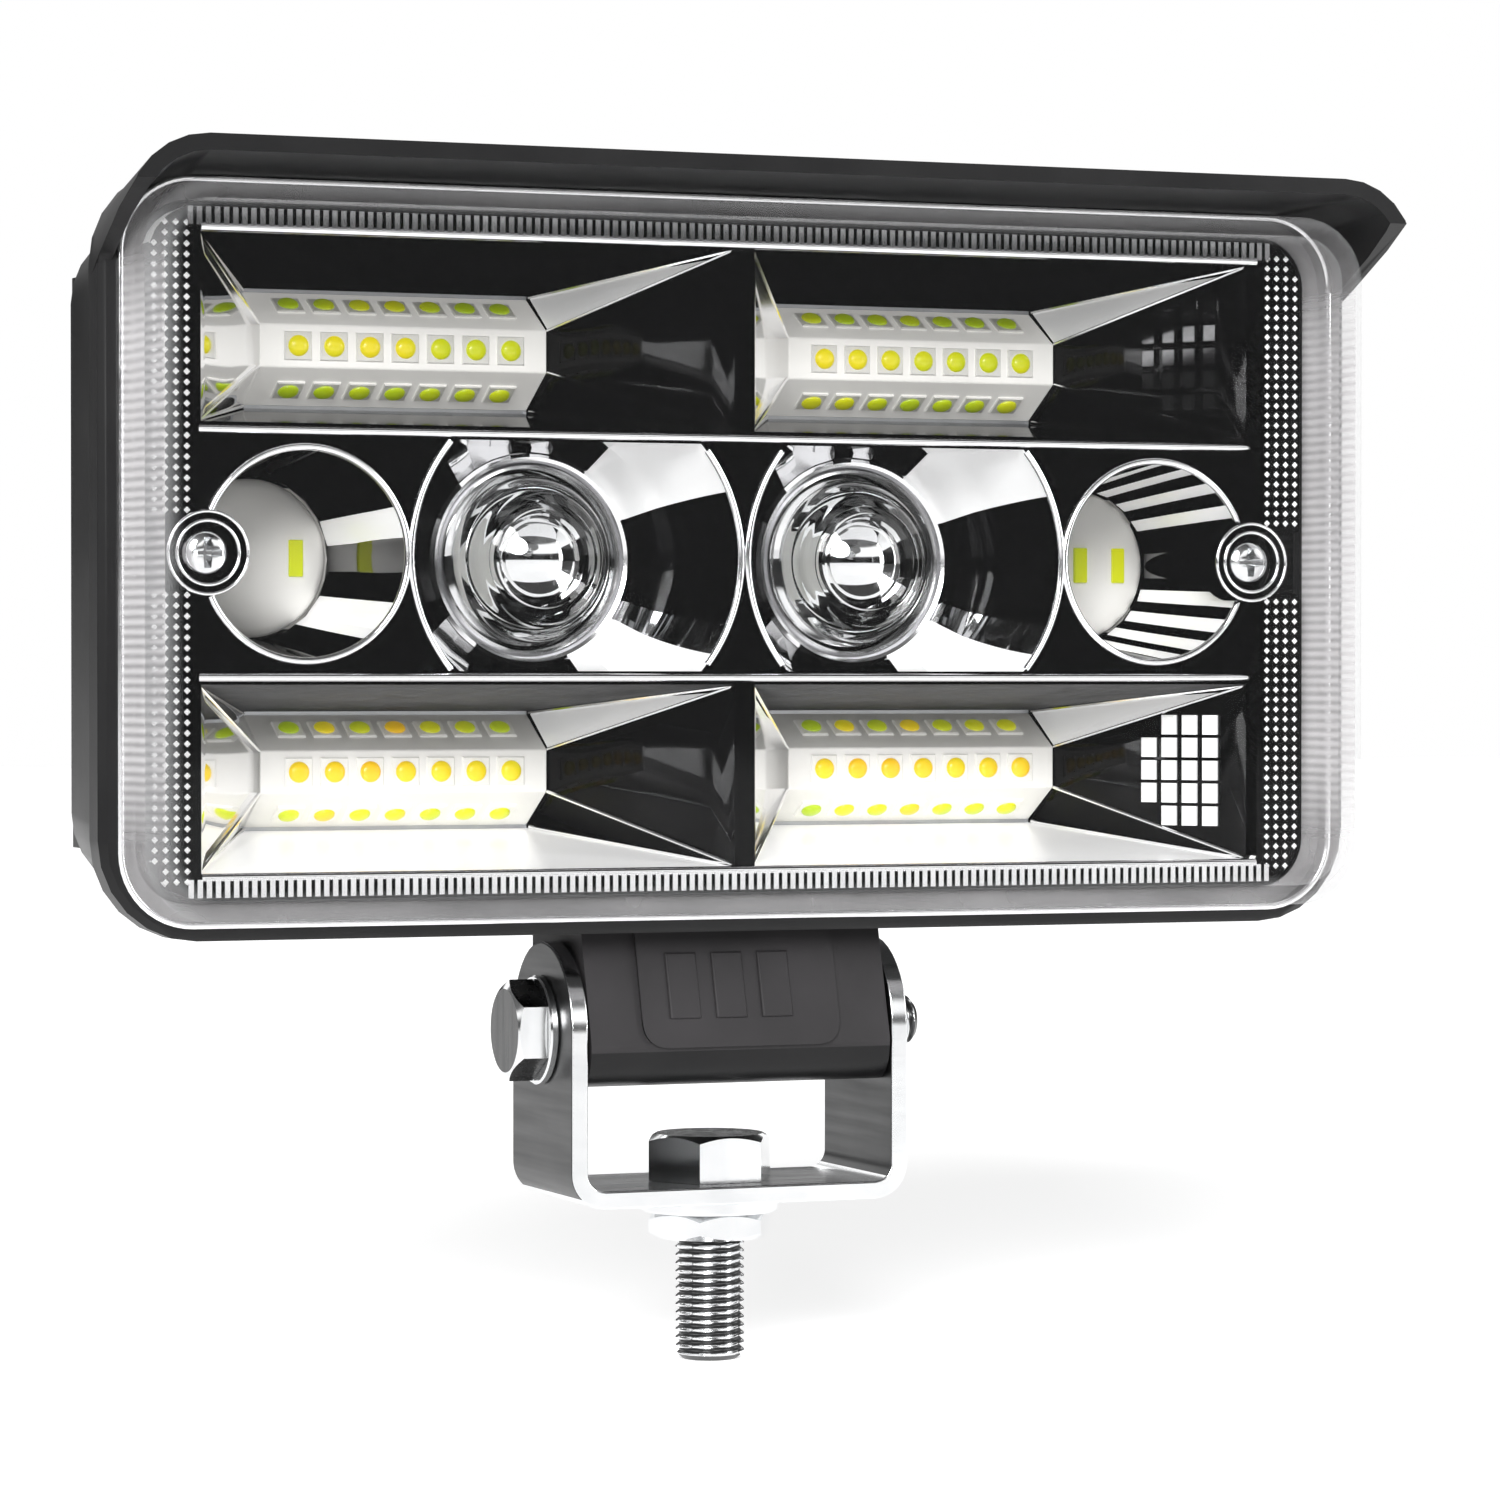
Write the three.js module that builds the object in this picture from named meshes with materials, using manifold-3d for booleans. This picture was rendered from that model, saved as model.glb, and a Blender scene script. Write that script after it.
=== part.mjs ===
// Rectangular LED fog light on a tilting U-bracket. Millimetres, +Z up, the lamp faces -Y.
// The origin is on the stud's axis, at the underside of the bracket.
import * as THREE from 'three';
import { mergeVertices } from 'three/addons/utils/BufferGeometryUtils.js';
import { ConvexGeometry } from 'three/addons/geometries/ConvexGeometry.js';
import Module from 'manifold-3d';

const wasm = await Module();
wasm.setup();

// Driving dimensions
const TOUCH = 0.05;                                       // gap between faces that rest on each other
const CORNER_STEPS = 6;
const ROUND_SIDES = 32;
const HEAD_Z = 73.2;                                      // height of the lamp head's centre

const STRAP = { width: 20, thick: 2, inner: 18.5, bend: 2, pivotZ: 19.7 };
const PIVOT = { r: 3, hole: 3.09, headAcross: 10, head: 3.4, washer: 1, washerR: 6.2, nut: 3.2, tail: 0.4 };
const STUD = {
  r: 4, hole: 4.09, across: 13, head: 5.3, washer: 1.5, washerR: 8, nut: 3,
  threadR: 3.95, tip: -18.6, chamfer: 0.6,
};

const FLANGE = { halfW: 75.5, halfH: 42.1, r: 11, front: -13, back: -8, edge: 0.8 };
const BODY = { halfW: 71.6, halfH: 40.2, r: 9, back: 25.3, draft: 2.2, wall: 3 };
const CHAMBER = { ledge: -9, floor: 21.3 };
const VISOR = { front: -28, halfW: 76.4, halfH: 43.7, r: 9, thick: 1.7, tipZ: 112, heelZ: 104.5 };
const FINS = { count: 15, pitch: 9, thick: 2.2, tip: 42, halfH: 33.5 };
const LUG = { half: 18.2, bottomZ: 13.5, topZ: 35, panelHalf: 12, panelZ: 18, panelRise: 0.6, panelR: 3 };

const LENS = { halfW: 73.1, halfH: 40.3, r: 8, base: -10.9, edge: 5.6, thick: 2.2, front: -26.5, draft: 0.5 };
const SEAL = { back: -10.05, thick: 0.8, width: 2 };
const RABBET = { depth: -10, clear: 0.3 };

const FRAME = { halfW: 69.8, halfH: 37.5, r: 5.5, front: -12.3, back: -9.3, windowW: 64.2, windowH: 35.2 };
const PLATE_FRONT = -10.8;                                // plane of the reflector's dividers
const SHELL = 1.5;                                        // reflector wall
const ROW = { half: 12.8, wall: 14.2, top: 35 };          // middle row and bar troughs, from the centre
const TROUGH = { near: 0.8, far: 64, barNear: 15, barFar: 50, barZ: 24.3, depth: 20 };
const BAR = { front: 13, frontHalf: 2.45, back: 20, backHalf: 6.5, board: 1, foot: 7.5, endGap: 0.2 };
const CUP = { x: 20, mouth: 19.6, seat: 12.3, seatFront: 5, seatBack: 8.6, lip: 9.5, lipBack: 10 };
const BOWL = {
  x: 51.7, mouth: 11.75, throat: 9.4, throatY: 10.8, back: 11.6, base: 9, foot: 7, baseFront: 9.6,
};
const SCREW = {
  x: 63.3, headR: 2.8, headFront: -12.6, r: 1.5, hole: 1.75, bossR: 3.2, split: 11.6, end: 18,
  rim: -12.6, rimBack: -8, rimR: 4.6, stemR: 2.4, reach: 66.8, pocketR: 3.7, seat: -10.9,
};

const BOARD = { halfW: 59.6, halfH: 8, front: 12, thick: 1.6, screwX: 36 };
const DRIVER = { halfW: 26, halfH: 7.5, front: 19.2, thick: 1.6, screwX: 22 };
const GLAND = { z: -24, holeR: 5.2, bossR: 9, bossBack: 29, bodyR: 8, tip: 39, boreR: 3 };
const VENT = { z: 24, holeR: 3.2, capR: 6, capDepth: 3 };

// Solids
function toSolid(geometry) {
  const bare = geometry.clone();
  bare.deleteAttribute('normal');
  bare.deleteAttribute('uv');
  const merged = mergeVertices(bare, 1e-4);
  const position = merged.attributes.position;
  const corners = Array.from(merged.index.array);
  const faces = [];
  let volume = 0;
  for (let i = 0; i < corners.length; i += 3) {
    const [a, b, c] = corners.slice(i, i + 3);
    if (a === b || b === c || c === a) continue;
    faces.push([a, b, c]);
    const [p, q, r] = [a, b, c].map((k) => new THREE.Vector3().fromBufferAttribute(position, k));
    volume += p.dot(q.cross(r));
  }
  const turned = volume < 0 ? faces.map(([a, b, c]) => [a, c, b]) : faces;
  return new wasm.Manifold(new wasm.Mesh({
    numProp: 3,
    vertProperties: new Float32Array(position.array),
    triVerts: new Uint32Array(turned.flat()),
  }));
}

const join = (...solids) => solids.reduce((all, one) => all.add(one));
const cut = (solid, ...tools) => tools.reduce((rest, tool) => rest.subtract(tool), solid);

function toGeometry(solid) {
  const mesh = solid.getMesh();
  const geometry = new THREE.BufferGeometry();
  geometry.setAttribute('position', new THREE.BufferAttribute(mesh.vertProperties, 3));
  geometry.setIndex(new THREE.BufferAttribute(mesh.triVerts, 1));
  geometry.computeVertexNormals();
  return geometry;
}

function box(x0, x1, y0, y1, z0, z1) {
  const geometry = new THREE.BoxGeometry(x1 - x0, y1 - y0, z1 - z0);
  return toSolid(geometry.translate((x0 + x1) / 2, (y0 + y1) / 2, (z0 + z1) / 2));
}

// Turned solid: the profile is [position along the axis, radius], closed onto the axis at both ends.
function turned(profile, axis, x, y, z, sides = ROUND_SIDES) {
  const ends = [[profile[0][0], 0], ...profile, [profile[profile.length - 1][0], 0]];
  const geometry = new THREE.LatheGeometry(ends.map(([along, r]) => new THREE.Vector2(r, along)), sides);
  if (axis === 'x') geometry.rotateZ(-Math.PI / 2);
  if (axis === 'z') geometry.rotateX(Math.PI / 2);
  return toSolid(geometry.translate(x, y, z));
}

// Prism along X from an outline of [y, z] points or a Shape.
function prismX(outline, x0, x1) {
  const shape = outline instanceof THREE.Shape ? outline : polygon(outline);
  const settings = { depth: x1 - x0, bevelEnabled: false, curveSegments: 10 };
  const geometry = new THREE.ExtrudeGeometry(shape, settings);
  const turn = new THREE.Matrix4().makeBasis(
    new THREE.Vector3(0, 1, 0), new THREE.Vector3(0, 0, 1), new THREE.Vector3(1, 0, 0));
  return toSolid(geometry.applyMatrix4(turn).translate(x0, 0, 0));
}

// Prism along Y from an outline of [x, z] points or a Shape.
function prismY(outline, y0, y1) {
  const shape = outline instanceof THREE.Shape ? outline : polygon(outline);
  const settings = { depth: y1 - y0, bevelEnabled: false, curveSegments: 8 };
  const geometry = new THREE.ExtrudeGeometry(shape, settings);
  return toSolid(geometry.rotateX(Math.PI / 2).translate(0, y1, 0));
}

function polygon(points) {
  return new THREE.Shape(points.map(([a, b]) => new THREE.Vector2(a, b)));
}

function hexagon(across, depth, axis, start, x, y, z) {
  const radius = across / Math.sqrt(3);
  const geometry = new THREE.CylinderGeometry(radius, radius, depth, 6).translate(0, start + depth / 2, 0);
  if (axis === 'x') geometry.rotateZ(-Math.PI / 2);
  if (axis === 'z') geometry.rotateX(Math.PI / 2).rotateZ(Math.PI / 2);
  return toSolid(geometry.translate(x, y, z));
}

// Rounded rectangle in a plane of constant Y, centred on the lamp head.
function section(y, halfW, halfH, r) {
  const points = [];
  const centres = [[1, 1], [-1, 1], [-1, -1], [1, -1]];
  centres.forEach(([sx, sz], quarter) => {
    for (let i = 0; i <= CORNER_STEPS; i += 1) {
      const angle = (quarter + i / CORNER_STEPS) * Math.PI / 2;
      const x = sx * (halfW - r) + r * Math.cos(angle);
      const z = sz * (halfH - r) + r * Math.sin(angle);
      points.push(new THREE.Vector3(x, y, HEAD_Z + z));
    }
  });
  return points;
}

const hull = (...sections) => toSolid(new ConvexGeometry(sections.flat()));
const mirrorX = (solid) => solid.mirror([1, 0, 0]);
const ring = (outer, inner) => cut(outer, inner);

// Bracket, pivot and stud
function bracketSolid() {
  const outer = STRAP.inner + STRAP.thick;
  const outerBend = STRAP.bend + STRAP.thick;
  const top = STRAP.pivotZ + STRAP.width / 2;
  const shape = new THREE.Shape();
  shape.moveTo(-outer, top);
  shape.lineTo(-outer, outerBend);
  shape.absarc(-outer + outerBend, outerBend, outerBend, Math.PI, 1.5 * Math.PI, false);
  shape.absarc(outer - outerBend, outerBend, outerBend, 1.5 * Math.PI, 2 * Math.PI, false);
  shape.lineTo(outer, top);
  shape.lineTo(STRAP.inner, top);
  shape.absarc(STRAP.inner - STRAP.bend, STRAP.thick + STRAP.bend, STRAP.bend, 0, -Math.PI / 2, true);
  shape.absarc(STRAP.bend - STRAP.inner, STRAP.thick + STRAP.bend, STRAP.bend, -Math.PI / 2, -Math.PI, true);
  shape.lineTo(-STRAP.inner, top);
  const strap = prismY(shape, -STRAP.width / 2, STRAP.width / 2);

  const side = new THREE.Shape();
  side.moveTo(-STRAP.width / 2, -1);
  side.lineTo(STRAP.width / 2, -1);
  side.absarc(0, STRAP.pivotZ, STRAP.width / 2, 0, Math.PI, false);
  const outline = prismX(side, -outer - 1, outer + 1);
  const pivotHole = turned([[-outer - 1, PIVOT.hole], [outer + 1, PIVOT.hole]], 'x', 0, 0, STRAP.pivotZ);
  const studHole = turned([[-1, STUD.hole], [STRAP.thick + 1, STUD.hole]], 'z', 0, 0, 0);
  return cut(strap.intersect(outline), pivotHole, studHole);
}

const armX = STRAP.inner + STRAP.thick;
const nutX = armX + PIVOT.washer + 2 * TOUCH;

function pivotBoltSolid() {
  const headX = -armX - PIVOT.washer - 2 * TOUCH;
  const end = nutX + PIVOT.nut + PIVOT.tail;
  const head = hexagon(PIVOT.headAcross, PIVOT.head, 'x', headX - PIVOT.head, 0, 0, STRAP.pivotZ);
  const outline = [[headX - 1, PIVOT.r], [end - 0.4, PIVOT.r], [end, PIVOT.r - 0.4]];
  const shank = turned(outline, 'x', 0, 0, STRAP.pivotZ);
  return join(head, shank);
}

function pivotWasherSolid(start) {
  const end = start + PIVOT.washer;
  const disc = (r, extra) => turned([[start - extra, r], [end + extra, r]], 'x', 0, 0, STRAP.pivotZ);
  return ring(disc(PIVOT.washerR, 0), disc(PIVOT.hole, 1));
}

function pivotNutSolid() {
  const nut = hexagon(PIVOT.headAcross, PIVOT.nut, 'x', nutX, 0, 0, STRAP.pivotZ);
  const bore = [[nutX - 1, PIVOT.r + 0.1], [nutX + PIVOT.nut + 1, PIVOT.r + 0.1]];
  return cut(nut, turned(bore, 'x', 0, 0, STRAP.pivotZ));
}

function studBoltSolid() {
  const seat = STRAP.thick + TOUCH;
  const nutFace = -2 * TOUCH - STUD.washer - STUD.nut;
  const head = hexagon(STUD.across, STUD.head, 'z', seat, 0, 0, 0);
  const shank = turned([
    [STUD.tip, STUD.threadR - STUD.chamfer], [STUD.tip + STUD.chamfer, STUD.threadR],
    [nutFace, STUD.threadR], [nutFace, STUD.r], [seat + 1, STUD.r],
  ], 'z', 0, 0, 0);
  return join(head, shank);
}

function studWasherSolid() {
  const disc = (r, extra) => turned([[-TOUCH - STUD.washer - extra, r], [-TOUCH + extra, r]], 'z', 0, 0, 0);
  return ring(disc(STUD.washerR, 0), disc(STUD.hole, 1));
}

function studNutSolid() {
  const top = -2 * TOUCH - STUD.washer;
  const nut = hexagon(STUD.across, STUD.nut, 'z', top - STUD.nut, 0, 0, 0);
  return cut(nut, turned([[top - STUD.nut - 1, STUD.r + 0.1], [top + 1, STUD.r + 0.1]], 'z', 0, 0, 0));
}

// Housing: one casting with its rim, visor, fins and mounting lug
function visorSolid() {
  const root = FLANGE.front + 3;
  const t = VISOR.thick;
  const outer = hull(
    section(root, FLANGE.halfW, FLANGE.halfH, FLANGE.r),
    section(VISOR.front, VISOR.halfW, VISOR.halfH, VISOR.r));
  const inner = hull(
    section(root + 1, FLANGE.halfW - t, FLANGE.halfH - t, FLANGE.r - t),
    section(VISOR.front - 1, VISOR.halfW - t, VISOR.halfH - t, VISOR.r - t));
  const below = prismX([
    [VISOR.front - 10, 0], [FLANGE.front + 4, 0], [FLANGE.front + 4, VISOR.heelZ - 2],
    [FLANGE.front, VISOR.heelZ], [VISOR.front, VISOR.tipZ], [VISOR.front - 10, VISOR.tipZ],
  ], -FLANGE.halfW - 10, FLANGE.halfW + 10);
  return cut(outer, inner, below);
}

function lugSolid() {
  const front = -5.6;
  const lean = -10.2;
  const shape = new THREE.Shape();
  shape.moveTo(front, LUG.topZ);
  shape.lineTo(lean, LUG.bottomZ + 5);
  shape.quadraticCurveTo(lean, LUG.bottomZ, lean + 4.5, LUG.bottomZ);
  shape.lineTo(5.5, LUG.bottomZ);
  shape.quadraticCurveTo(9.5, LUG.bottomZ, 9.5, LUG.bottomZ + 5);
  shape.lineTo(9.5, LUG.topZ);
  const block = prismX(shape, -LUG.half, LUG.half);

  const panel = new THREE.Shape();
  panel.moveTo(-LUG.panelHalf, LUG.topZ - 2);
  panel.lineTo(-LUG.panelHalf, LUG.panelZ + LUG.panelR);
  panel.quadraticCurveTo(-LUG.panelHalf, LUG.panelZ, -LUG.panelHalf + LUG.panelR, LUG.panelZ);
  panel.lineTo(LUG.panelHalf - LUG.panelR, LUG.panelZ);
  panel.quadraticCurveTo(LUG.panelHalf, LUG.panelZ, LUG.panelHalf, LUG.panelZ + LUG.panelR);
  panel.lineTo(LUG.panelHalf, LUG.topZ - 2);
  const rise = prismX([
    [front + 1, LUG.topZ], [front - LUG.panelRise, LUG.topZ],
    [lean - LUG.panelRise, LUG.bottomZ + 4.5], [lean + 1, LUG.bottomZ + 4.5],
  ], -LUG.half + 1, LUG.half - 1);
  const badge = prismY(panel, -14, -4).intersect(rise);
  const holeOutline = [[-LUG.half - 1, PIVOT.hole], [LUG.half + 1, PIVOT.hole]];
  const pivotHole = turned(holeOutline, 'x', 0, 0, STRAP.pivotZ);
  return cut(join(block, badge), pivotHole);
}

function finsSolid() {
  const fins = [];
  for (let i = 0; i < FINS.count; i += 1) {
    const x = (i - (FINS.count - 1) / 2) * FINS.pitch;
    const half = FINS.thick / 2;
    fins.push(box(x - half, x + half, BODY.back - 1, FINS.tip, HEAD_Z - FINS.halfH, HEAD_Z + FINS.halfH));
  }
  const pocket = (z, halfW, halfH) =>
    box(-halfW, halfW, BODY.back - 2, FINS.tip + 1, HEAD_Z + z - halfH, HEAD_Z + z + halfH);
  return cut(join(...fins), pocket(GLAND.z, 11.5, 11), pocket(VENT.z, 11.5, 9));
}

const alongY = (x, z, y0, y1, r, sides) => turned([[y0, r], [y1, r]], 'y', x, 0, HEAD_Z + z, sides);

function postsSolid() {
  const foot = CHAMBER.floor + 1;
  return join(
    ...[-1, 1].flatMap((side) => [
      alongY(side * SCREW.x, 0, SCREW.split + TOUCH, foot, SCREW.bossR, 16),
      alongY(side * BOARD.screwX, 0, BOARD.front + BOARD.thick + TOUCH, foot, 3, 16),
      alongY(side * DRIVER.screwX, 0, DRIVER.front + DRIVER.thick + TOUCH, foot, 2.5, 16),
    ]));
}

function housingSolid() {
  const f = FLANGE;
  const flange = hull(
    section(f.front, f.halfW - f.edge, f.halfH - f.edge, f.r - f.edge),
    section(f.front + f.edge, f.halfW, f.halfH, f.r),
    section(f.back - f.edge, f.halfW, f.halfH, f.r),
    section(f.back, f.halfW - f.edge, f.halfH - f.edge, f.r - f.edge));
  const tub = hull(
    section(f.back - 1, BODY.halfW, BODY.halfH, BODY.r),
    section(BODY.back - 3, BODY.halfW - BODY.draft, BODY.halfH - BODY.draft, BODY.r),
    section(BODY.back, BODY.halfW - BODY.draft - 3, BODY.halfH - BODY.draft - 3, BODY.r - 2));
  const gap = RABBET.clear;
  const rabbet = hull(
    section(f.front - 1, LENS.halfW + gap, LENS.halfH + gap, LENS.r + gap),
    section(RABBET.depth, LENS.halfW + gap, LENS.halfH + gap, LENS.r + gap));
  const mouth = hull(
    section(f.front - 1, FRAME.halfW + 0.4, FRAME.halfH + 0.4, FRAME.r + 0.4),
    section(CHAMBER.ledge, FRAME.halfW + 0.4, FRAME.halfH + 0.4, FRAME.r + 0.4));
  const wall = BODY.wall;
  const chamber = hull(
    section(CHAMBER.ledge - 1, BODY.halfW - wall, BODY.halfH - wall, 5),
    section(CHAMBER.floor, BODY.halfW - wall - BODY.draft, BODY.halfH - wall - BODY.draft, 5));
  const gland = cut(alongY(0, GLAND.z, BODY.back - 1, GLAND.bossBack, GLAND.bossR),
    alongY(0, GLAND.z, BODY.back - 2, GLAND.bossBack + 1, GLAND.holeR));
  const shell = cut(join(flange, tub, visorSolid(), finsSolid(), lugSolid()), rabbet, mouth, chamber,
    alongY(0, GLAND.z, CHAMBER.floor - 2, FINS.tip + 2, GLAND.holeR),
    alongY(0, VENT.z, CHAMBER.floor - 2, BODY.back + 2, VENT.holeR, 16));
  const bores = [-1, 1].flatMap((side) => [
    alongY(side * SCREW.x, 0, SCREW.split - 1, SCREW.end + 1, SCREW.hole, 16),
    alongY(side * BOARD.screwX, 0, BOARD.front, 20, SCREW.hole, 16),
    alongY(side * DRIVER.screwX, 0, DRIVER.front, 22.5, 1.4, 16),
  ]);
  return cut(join(shell, gland, postsSolid()), ...bores);
}

// Lens cover and seal
function lensSections(inset, frontY, baseY) {
  const edge = LENS.edge - inset;
  const start = LENS.front + LENS.edge;
  const sections = [section(baseY, LENS.halfW - inset, LENS.halfH - inset, LENS.r - inset)];
  const arcs = 5;
  for (let i = 0; i <= arcs; i += 1) {
    const angle = (i / arcs) * Math.PI / 2;
    const pull = inset + LENS.draft + edge * (1 - Math.cos(angle));
    const y = start - (start - frontY) * Math.sin(angle);
    sections.push(section(y, LENS.halfW - pull, LENS.halfH - pull, Math.max(LENS.r - pull, 0.6)));
  }
  return sections;
}

function lensSolid() {
  return ring(
    hull(...lensSections(0, LENS.front, LENS.base)),
    hull(...lensSections(LENS.thick, LENS.front + LENS.thick, LENS.base + 1)));
}

function sealSolid() {
  const slab = (inset, extra) => hull(
    section(SEAL.back + extra, LENS.halfW - inset, LENS.halfH - inset, LENS.r - inset),
    section(SEAL.back - SEAL.thick - extra, LENS.halfW - inset, LENS.halfH - inset, LENS.r - inset));
  return ring(slab(0.1, 0), slab(0.1 + SEAL.width, 1));
}

// Reflector
function troughHull(side, level, grow) {
  const corner = (x, y, z) => new THREE.Vector3(side * x, y, HEAD_Z + level * z);
  const back = TROUGH.depth + (grow ? -0.2 : 0.5);
  const reach = BAR.backHalf + 0.3 + grow;
  const points = [];
  const mouth = [TROUGH.near, TROUGH.far].flatMap((x) => [[x, ROW.wall], [x, ROW.top]]);
  for (const [x, z] of mouth) {
    const dx = x === TROUGH.near ? -grow : grow;
    const dz = z === ROW.wall ? -grow : grow;
    points.push(corner(x + dx, PLATE_FRONT - (grow ? 0 : 1), z + dz));
  }
  for (const [x, z] of [[TROUGH.barNear, -1], [TROUGH.barNear, 1], [TROUGH.barFar, -1], [TROUGH.barFar, 1]]) {
    const dx = x === TROUGH.barNear ? -grow : grow;
    points.push(corner(x + dx, back, TROUGH.barZ + z * reach));
  }
  return toSolid(new ConvexGeometry(points));
}

// The mirrored wall at one end of a trough, shaped to meet the end of the half-hexagon bar.
function troughEnd(side, level, barX, mouthX) {
  const out = Math.sign(mouthX - barX);
  const mid = (ROW.wall + ROW.top) / 2;
  const halfMouth = (ROW.top - ROW.wall) / 2;
  const points = [];
  for (const z of [-1, 1]) {
    points.push([barX, TROUGH.depth - 0.2, TROUGH.barZ + z * (BAR.backHalf + 0.3)]);
    points.push([barX + out * SHELL, TROUGH.depth - 0.2, TROUGH.barZ + z * (BAR.backHalf + 0.3)]);
    points.push([barX, BAR.front, TROUGH.barZ + z * BAR.frontHalf]);
    points.push([mouthX + out * 0.6, PLATE_FRONT + 0.2, mid + z * halfMouth]);
    points.push([mouthX, PLATE_FRONT + 0.2, mid + z * halfMouth]);
  }
  const corner = ([x, y, z]) => new THREE.Vector3(side * x, y, HEAD_Z + level * z);
  return toSolid(new ConvexGeometry(points.map(corner)));
}

const cupProfile = (grow) => {
  const steps = 6;
  const profile = [[PLATE_FRONT - (grow ? 0 : 1), CUP.mouth + grow]];
  for (let i = 0; i <= steps; i += 1) {
    const t = i / steps;
    const y = PLATE_FRONT + t * (CUP.seatFront - PLATE_FRONT);
    const flare = Math.sqrt(1 - t * t) * (1 - 0.25 * t);
    profile.push([y + (i ? 0 : 0.01), CUP.seat + (CUP.mouth - CUP.seat) * flare + grow]);
  }
  profile.push([CUP.seatBack, CUP.seat + grow]);
  return profile;
};

const bowlProfile = (grow) => {
  const steps = 6;
  const profile = [[PLATE_FRONT - (grow ? 0 : 1), BOWL.mouth + grow]];
  for (let i = 0; i <= steps; i += 1) {
    const t = i / steps;
    const y = PLATE_FRONT + t * (BOWL.throatY - PLATE_FRONT);
    const square = BOWL.throat ** 2 + (BOWL.mouth ** 2 - BOWL.throat ** 2) * (1 - t);
    profile.push([y + (i ? 0 : 0.01), Math.sqrt(square) + grow]);
  }
  profile.push([BOWL.back + (grow ? 0 : 1), BOWL.throat + grow]);
  return profile;
};

function cupSolid(side, grow) {
  const slab = box(-70, 70, -20, 20, HEAD_Z - ROW.half - grow, HEAD_Z + ROW.half + grow);
  const cup = turned(cupProfile(grow), 'y', side * CUP.x, 0, HEAD_Z).intersect(slab);
  const lipR = grow ? CUP.seat + grow : CUP.lip;
  return join(cup, alongY(side * CUP.x, 0, CUP.seatBack - 1, CUP.lipBack + (grow ? 0 : 1), lipR));
}

const bowlSolid = (side, grow) => turned(bowlProfile(grow), 'y', side * BOWL.x, 0, HEAD_Z, 24);

function reflectorSolid() {
  const slab = (y0, y1, w, h, r) => hull(section(y0, w, h, r), section(y1, w, h, r));
  const border = cut(
    slab(FRAME.front, FRAME.back, FRAME.halfW, FRAME.halfH, FRAME.r),
    slab(FRAME.front - 1, PLATE_FRONT, FRAME.windowW, FRAME.windowH, 1));
  const outside = [];
  const inside = [];
  const ends = [];
  for (const side of [-1, 1]) {
    outside.push(cupSolid(side, SHELL), bowlSolid(side, SHELL));
    inside.push(cupSolid(side, 0), bowlSolid(side, 0));
    for (const level of [-1, 1]) {
      outside.push(troughHull(side, level, SHELL));
      inside.push(troughHull(side, level, 0));
      ends.push(troughEnd(side, level, TROUGH.barNear, TROUGH.near));
      ends.push(troughEnd(side, level, TROUGH.barFar, TROUGH.far));
    }
  }
  const clip = box(-SCREW.reach, SCREW.reach, -20, 20, HEAD_Z - 10, HEAD_Z + 10);
  const sides = [-1, 1];
  const bosses = sides.map((side) => join(
    alongY(side * SCREW.x, 0, SCREW.rim, SCREW.rimBack, SCREW.rimR).intersect(clip),
    alongY(side * SCREW.x, 0, SCREW.rimBack - 1, SCREW.split, SCREW.stemR)));
  const pockets = sides.map((side) => screwPocket(side));
  const bores = sides.map((side) => alongY(side * SCREW.x, 0, -20, SCREW.split + 1, SCREW.hole, 16));
  const body = join(cut(join(border, ...outside), ...inside), ...ends, ...bosses);
  return cut(body, ...pockets, ...bores);
}

// U-shaped recess for a reflector screw, open toward the outer edge.
function screwPocket(side) {
  const x = side * SCREW.x;
  const far = side * (FRAME.halfW + 1);
  const round = alongY(x, 0, -20, SCREW.seat, SCREW.pocketR);
  const [low, high] = [HEAD_Z - SCREW.pocketR, HEAD_Z + SCREW.pocketR];
  const slot = box(Math.min(x, far), Math.max(x, far), -20, SCREW.seat, low, high);
  return join(round, slot);
}

// Light bars: an aluminium core with a folded white board on its three faces
function barOutline(level, inset, backY) {
  const slope = (BAR.backHalf - BAR.frontHalf) / (BAR.back - BAR.front);
  const drop = inset * Math.sqrt(1 + slope * slope);
  const z = (y) => BAR.frontHalf - drop + (y - BAR.front) * slope;
  const front = BAR.front + inset;
  const mid = HEAD_Z + level * TROUGH.barZ;
  return [[front, mid - z(front)], [backY, mid - z(backY)], [backY, mid + z(backY)], [front, mid + z(front)]];
}

function ledBoardSolid(side, level) {
  const x0 = TROUGH.barNear + BAR.endGap;
  const x1 = TROUGH.barFar - BAR.endGap;
  const board = cut(
    prismX(barOutline(level, 0, BAR.back), x0, x1),
    prismX(barOutline(level, BAR.board, BAR.back + 1), x0 - 1, x1 + 1));
  return side < 0 ? mirrorX(board) : board;
}

function barCoreSolid(side, level) {
  const x0 = TROUGH.barNear + BAR.endGap;
  const x1 = TROUGH.barFar - BAR.endGap;
  const mid = HEAD_Z + level * TROUGH.barZ;
  const core = join(
    prismX(barOutline(level, BAR.board + TOUCH, BAR.back + 0.2), x0, x1),
    box(x0, x1, BAR.back + TOUCH, CHAMBER.floor - TOUCH, mid - BAR.foot, mid + BAR.foot));
  return side < 0 ? mirrorX(core) : core;
}

// Middle row: condenser lenses, their rings, emitters and boards
function condenserSolid(side) {
  const dome = [];
  const steps = 6;
  for (let i = 0; i <= steps; i += 1) {
    const angle = (i / steps) * Math.PI / 2;
    dome.push([6.9 - 8.2 * Math.cos(angle), Math.max(10.2 * Math.sin(angle), 0.05)]);
  }
  return turned([...dome, [6.95, 11.6], [CUP.seatBack - TOUCH, 11.6]], 'y', side * CUP.x, 0, HEAD_Z);
}

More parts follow.
